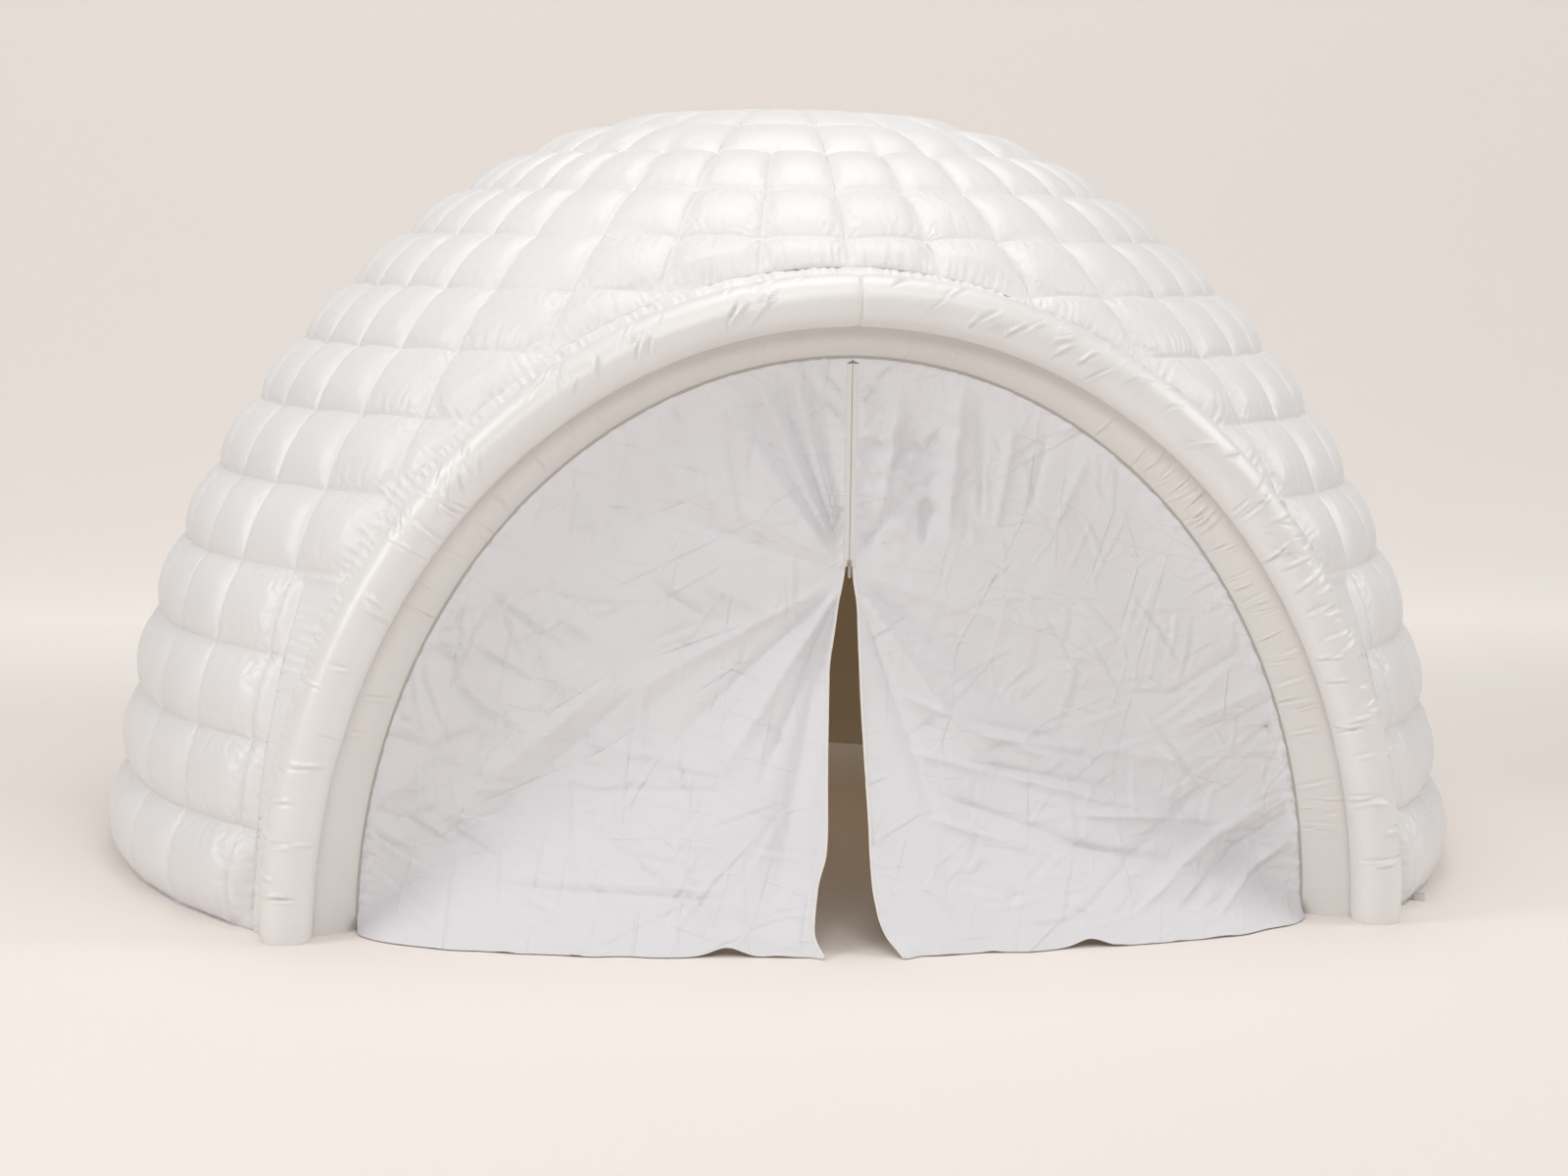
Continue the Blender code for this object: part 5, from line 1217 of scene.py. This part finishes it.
def drape_curtain(grid, word, side):
    """Fold a curtain half, lay its hem on the floor, close it above the zip and put it on its side.

    x and z are views of the grid, so each step starts from the places that the last one left.
    """
    x, z = grid[..., 0], grid[..., 2]
    slit_foot = SLIT_OPENING[word][-1][1]
    rows = np.arange(len(grid))[:, None] / (len(grid) - 1)
    depth = curtain_relief(x, z, word, side)
    lower = smooth_step((z - 0.004) / 0.10)
    hem = noise_field(x, 0.0, side, 0.11, 45)
    grid[..., 1] -= depth * (0.35 + 0.65 * lower)
    grid[..., 1] -= HEM_SWAY * hem * (1.0 - lower) * smooth_step((rows - 0.5) / 0.3)
    ruffle = noise_field(x, 0.0, side, 0.06, 47)
    grid[..., 2] += HEM_RUFFLE * np.maximum(ruffle, 0.0) * (1.0 - smooth_step(z / 0.03)) * (rows > 0.6)
    wave = HEM_WAVE_RISE * np.exp(-((x - HEM_WAVE[word]) / 0.05) ** 2)
    near_floor = (1.0 - smooth_step(z / 0.08)) * (rows > 0.6)
    grid[..., 2] += wave * near_floor
    grid[..., 1] -= (0.030 * np.exp(-((x - slit_foot) / 0.03) ** 2) - 0.5 * wave) * near_floor ** 2
    above_zip = smooth_step((z - ZIP_STOP_TOP + 0.002) / 0.005) * np.exp(-(x - SLIT_TOP_HALF) / 0.03)
    grid[..., 0] -= (SLIT_TOP_HALF - 0.0003) * above_zip * (rows < 0.4)
    grid[..., 1] -= 0.002 * above_zip * (rows < 0.4)
    grid[..., 0] *= side


def make_curtains():
    foot = fold_end()
    for word, side in SIDES.items():
        grid = curtain_lines(word, foot)
        drape_curtain(grid, word, side)
        x, z = grid[..., 0], grid[..., 2]
        cloth = grid_piece(f"curtain_{word}_cotton", grid, "cotton", (x, z), side > 0)
        cloth.data.materials.append(COTTON)
        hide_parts(f"curtain_{word}_upper", f"curtain_{word}_flap")
        direction = unit(np.array([(foot[0] - SLIT_TOP_HALF) * side, 0.0, foot[2] - SLIT_HEIGHT]))
        below = np.array([0.0, 0.0, -1.0])
        below = unit(below - direction * below.dot(direction))
        binding = make_slit_binding(word, side, grid[UPPER_ROWS:, 0] * [side, 1, 1])
        for piece in (cloth, binding):
            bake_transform(piece)


# Materials


def new_material(name, color, roughness, **sockets):
    material = bpy.data.materials.new(name)
    material.use_nodes = True
    sockets.update(Base_Color=(*color, 1.0), Roughness=roughness)
    set_inputs(principled(material), sockets)
    return material


def principled(material):
    return material.node_tree.nodes["Principled BSDF"]


def set_inputs(node, values):
    """Set a node's inputs by name. What is no input of the node is a setting of it."""
    for name, value in values.items():
        socket = name.replace("_", " ")
        if socket in node.inputs:
            node.inputs[socket].default_value = value
        else:
            setattr(node, name, value)


def add_node(material, kind, sources=None, **values):
    """A shader node with its values, and with outputs of other nodes led into its inputs."""
    node = material.node_tree.nodes.new(kind)
    set_inputs(node, values)
    for name, source in (sources or {}).items():
        link(material, source, node.inputs[name])
    return node


def link(material, source, target):
    material.node_tree.links.new(source, target)


CREASE_TURNS = (0.48, 1.32, -0.22)
CREASE_STRETCH = 3.2
CREASE_WIDTH_SHARE = 0.06
CREASE_PATCH_SCALE = 3.4
CREASE_PATCH_START = 0.44
CREASE_PATCH_FULL = 0.60


def crumple_height(material, size, place, number):
    """Height of a crumple pattern: long straight crease lines, in patches."""
    turned = add_node(material, "ShaderNodeMapping", {"Vector": place}, vector_type="TEXTURE",
                      Rotation=(0.0, 0.0, CREASE_TURNS[number]),
                      Scale=(size * CREASE_STRETCH, size, size))
    cells = add_node(material, "ShaderNodeTexVoronoi", {"Vector": turned.outputs["Vector"]},
                     feature="DISTANCE_TO_EDGE", Scale=1.0)
    line = add_node(material, "ShaderNodeMapRange", {"Value": cells.outputs["Distance"]},
                    interpolation_type="SMOOTHSTEP", From_Max=CREASE_WIDTH_SHARE, To_Min=1.0, To_Max=0.0)
    spread = add_node(material, "ShaderNodeTexNoise", {"Vector": place},
                      Scale=CREASE_PATCH_SCALE + number)
    mask = add_node(material, "ShaderNodeMapRange", {"Value": spread.outputs["Fac"]},
                    From_Min=CREASE_PATCH_START, From_Max=CREASE_PATCH_FULL)
    product = add_node(material, "ShaderNodeMath", {0: line.outputs["Result"], 1: mask.outputs["Result"]},
                       operation="MULTIPLY")
    return product.outputs["Value"]


def cloth_bump(material, stages, coordinate="Object"):
    """Bump from layers of pattern. A stage is a kind, a size in metres and a depth in metres."""
    place = add_node(material, "ShaderNodeTexCoord").outputs[coordinate]
    below = {}
    for number, (kind, size, depth) in enumerate(stages):
        if kind == "crease":
            source = crumple_height(material, size, place, number)
        elif kind == "weave":
            source = add_node(material, "ShaderNodeTexWave", {"Vector": place}, wave_type="BANDS",
                              bands_direction="DIAGONAL", Scale=1.0 / size, Distortion=1.5).outputs["Fac"]
        else:
            source = add_node(material, "ShaderNodeTexNoise", {"Vector": place}, Scale=1.0 / size,
                              Detail=3.0).outputs["Fac"]
        bump = add_node(material, "ShaderNodeBump", {"Height": source, **below}, Strength=1.0, Distance=depth)
        below = {"Normal": bump.outputs["Normal"]}
    link(material, bump.outputs["Normal"], principled(material).inputs["Normal"])


def tint(material, light, dark, size):
    """A slow change of tone over the cloth."""
    place = add_node(material, "ShaderNodeTexCoord").outputs["Object"]
    texture = add_node(material, "ShaderNodeTexNoise", {"Vector": place}, Scale=1.0 / size)
    ramp = add_node(material, "ShaderNodeValToRGB", {"Fac": texture.outputs["Fac"]})
    for element, tone, share in zip(ramp.color_ramp.elements, (dark, light), (0.35, 0.65)):
        element.color = (*tone, 1.0)
        element.position = share
    link(material, ramp.outputs["Color"], principled(material).inputs["Base Color"])


SATIN = new_material("white_satin", (0.84, 0.83, 0.82), 0.38, Sheen_Weight=0.12, Specular_IOR_Level=0.6)
tint(SATIN, (0.85, 0.835, 0.83), (0.82, 0.805, 0.80), 0.5)
cloth_bump(SATIN, [("noise", 0.040, 0.0007), ("noise", 0.012, 0.0002), ("weave", 0.0011, 0.00005)])

TUBE_SATIN = new_material("arch_satin", (0.86, 0.845, 0.83), 0.31, Sheen_Weight=0.10, Specular_IOR_Level=0.95)
tint(TUBE_SATIN, (0.875, 0.855, 0.84), (0.85, 0.83, 0.81), 0.4)
cloth_bump(TUBE_SATIN, [("noise", 0.030, 0.0005), ("weave", 0.0011, 0.00005)])

# Satin of the reveal bands inside the arch: the same cloth as the tube, with painted shade, darker base and
# tones standing in for the shade there
REVEAL_SATIN_PAINTED_SHADE = new_material("reveal_satin_painted_shade", (0.79, 0.76, 0.735), 0.42, Sheen_Weight=0.10,
                            Specular_IOR_Level=0.6)
tint(REVEAL_SATIN_PAINTED_SHADE, (0.80, 0.77, 0.745), (0.775, 0.745, 0.72), 0.4)
cloth_bump(REVEAL_SATIN_PAINTED_SHADE, [("noise", 0.030, 0.0005), ("weave", 0.0011, 0.00005)])

LINING_CLOTH = new_material("lining_cloth", (0.72, 0.635, 0.50), 0.7)
cloth_bump(LINING_CLOTH, [("noise", 0.05, 0.002), ("weave", 0.0014, 0.0001)])

COTTON = new_material("cotton_cloth", (0.825, 0.815, 0.84), 0.85, Sheen_Weight=0.1)
cloth_bump(COTTON, [("crease", 0.130, 0.0026), ("crease", 0.100, 0.0022), ("crease", 0.070, 0.0013),
                    ("noise", 0.05, 0.0022), ("noise", 0.02, 0.0005), ("weave", 0.0009, 0.00008)], "UV")

PIPING = new_material("piping_cloth", (0.50, 0.475, 0.44), 0.7)
cloth_bump(PIPING, [("weave", 0.0012, 0.0001)])

BASE_CLOTH = new_material("base_cloth", (0.50, 0.47, 0.43), 0.7)
cloth_bump(BASE_CLOTH, [("noise", 0.02, 0.0004), ("weave", 0.0014, 0.0001)])

THREAD = new_material("stitching_thread", (0.74, 0.72, 0.70), 0.6)
cloth_bump(THREAD, [("weave", 0.0008, 0.00005)])

WEBBING = new_material("webbing", (0.80, 0.78, 0.74), 0.75)
cloth_bump(WEBBING, [("weave", 0.0016, 0.0003)])

ZIP_TAPE = new_material("zip_tape", (0.82, 0.80, 0.785), 0.75)
cloth_bump(ZIP_TAPE, [("weave", 0.0010, 0.0001)])

BINDING = new_material("edge_binding", (0.87, 0.84, 0.80), 0.75)
cloth_bump(BINDING, [("noise", 0.006, 0.0003), ("weave", 0.0010, 0.0001)])

ZIP_METAL = new_material("zip_metal", (0.60, 0.57, 0.52), 0.35, Metallic=1.0)
cloth_bump(ZIP_METAL, [("noise", 0.002, 0.00005)])


def dress_kept_nodes():
    """Give each solid that stays in view its cloth or metal."""
    by_slot = {"satin": SATIN, "lining": LINING_CLOTH, "cotton": COTTON, "base_cloth": BASE_CLOTH,
               "piping": PIPING, "webbing": WEBBING, "zip_tape": ZIP_TAPE, "zip_metal": ZIP_METAL}
    for row in frame["record"]["subparts"]:
        node = frame["nodes"][row["node"]]
        node.data.materials.clear()
        node.data.materials.append(by_slot[row["material_slot"]])
        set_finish(node, row["material_slot"])


# Stage

BACKDROP_GLOW = 0.34


def make_stage():
    """A floor that curves up into a plain backdrop."""
    half_width, near, far, height, bend = 22.0, -20.0, 18.0, 14.0, 7.0
    profile = [(near, 0.0), (far - bend, 0.0)]
    for i in range(1, 13):
        turn = math.pi / 2 * i / 12
        profile.append((far - bend + bend * math.sin(turn), bend - bend * math.cos(turn)))
    profile.append((far, height))
    points = np.array([[x, y, z] for y, z in profile for x in (-half_width, half_width)])
    sweep = add_mesh("studio_sweep", points, grid_faces(len(profile), 2), "satin")
    del sweep["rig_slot"]
    paper = new_material("studio_paper", (0.93, 0.865, 0.815), 0.9, Emission_Color=(1.0, 0.95, 0.91, 1.0))
    place = add_node(paper, "ShaderNodeTexCoord").outputs["Object"]
    axes = add_node(paper, "ShaderNodeSeparateXYZ", {"Vector": place})
    glow = add_node(paper, "ShaderNodeMapRange", {"Value": axes.outputs["Y"]}, From_Min=0.5, From_Max=5.0,
                    To_Max=BACKDROP_GLOW)
    link(paper, glow.outputs["Result"], principled(paper).inputs["Emission Strength"])
    sweep.data.materials.append(paper)


def add_light(name, place, aim, size, power, color=(1.0, 1.0, 1.0)):
    lamp = bpy.data.lights.new(name, "AREA")
    lamp.shape = "RECTANGLE"
    lamp.size, lamp.size_y = size
    lamp.energy = power
    lamp.color = color
    holder = bpy.data.objects.new(name, lamp)
    bpy.context.scene.collection.objects.link(holder)
    holder.location = place
    holder.rotation_euler = (Vector(aim) - Vector(place)).to_track_quat("-Z", "Y").to_euler()


def make_lights():
    add_light("top_light", (0.0, -0.8, 6.6), (0.0, 0.0, 0.6), (4.0, 3.5), 108.0)
    add_light("front_light", (-0.5, -8.5, 6.3), (0.0, -0.6, 0.8), (5.0, 3.0), 230.0)
    add_light("left_fill", (-7.0, -3.6, 5.0), (0.0, 0.0, 0.8), (3.0, 2.5), 172.0)
    add_light("right_fill", (7.0, -2.6, 5.0), (0.0, 0.0, 0.8), (3.0, 2.5), 134.0)
    add_light("light_through_cloth", (0.0, DOME_Y + 0.2, 1.66), (0.0, DOME_Y + 0.2, 0.0), (1.0, 1.0), 3.5,
              (1.0, 0.83, 0.63))
    world = bpy.data.worlds.new("studio")
    world.use_nodes = True
    set_inputs(world.node_tree.nodes["Background"], {"Color": (1.0, 0.985, 0.965, 1.0), "Strength": 0.30})
    bpy.context.scene.world = world
    bpy.context.scene.view_settings.view_transform = "Standard"


# Camera, as solved from the photograph's seam rows
CAMERA_FOCAL_PX = 2864.75
FRAME_WIDE_PX = 1600
CAMERA_PLACE = (-1.2155, -8.7159, 1.8005)
CAMERA_YAW = 0.13967
CAMERA_PITCH = -0.11634
CAMERA_ROLL = 0.01465


def make_camera():
    camera = bpy.data.cameras.new("camera")
    camera.sensor_width = 36.0
    camera.lens = CAMERA_FOCAL_PX / FRAME_WIDE_PX * camera.sensor_width
    holder = bpy.data.objects.new("camera", camera)
    bpy.context.scene.collection.objects.link(holder)
    ahead = Vector((math.sin(CAMERA_YAW) * math.cos(CAMERA_PITCH),
                    math.cos(CAMERA_YAW) * math.cos(CAMERA_PITCH), math.sin(CAMERA_PITCH)))
    level = Vector((math.cos(CAMERA_YAW), -math.sin(CAMERA_YAW), 0.0))
    upright = level.cross(ahead)
    right = level * math.cos(CAMERA_ROLL) + upright * math.sin(CAMERA_ROLL)
    up = upright * math.cos(CAMERA_ROLL) - level * math.sin(CAMERA_ROLL)
    turned = Matrix((right, up, -ahead)).transposed().to_4x4()
    turned.translation = Vector(CAMERA_PLACE) + Vector((0.0, DOME_Y, 0.0))
    holder.matrix_world = turned
    bpy.context.scene.camera = holder


make_camera()
make_stage()
make_lights()
dress_kept_nodes()
make_outer_skin()
make_crown_caps()
make_lining()
make_arch_tubes()
make_collars()
make_reveals()
make_pipings()
make_zigzag()
make_jambs()
make_inlet()
make_curtains()
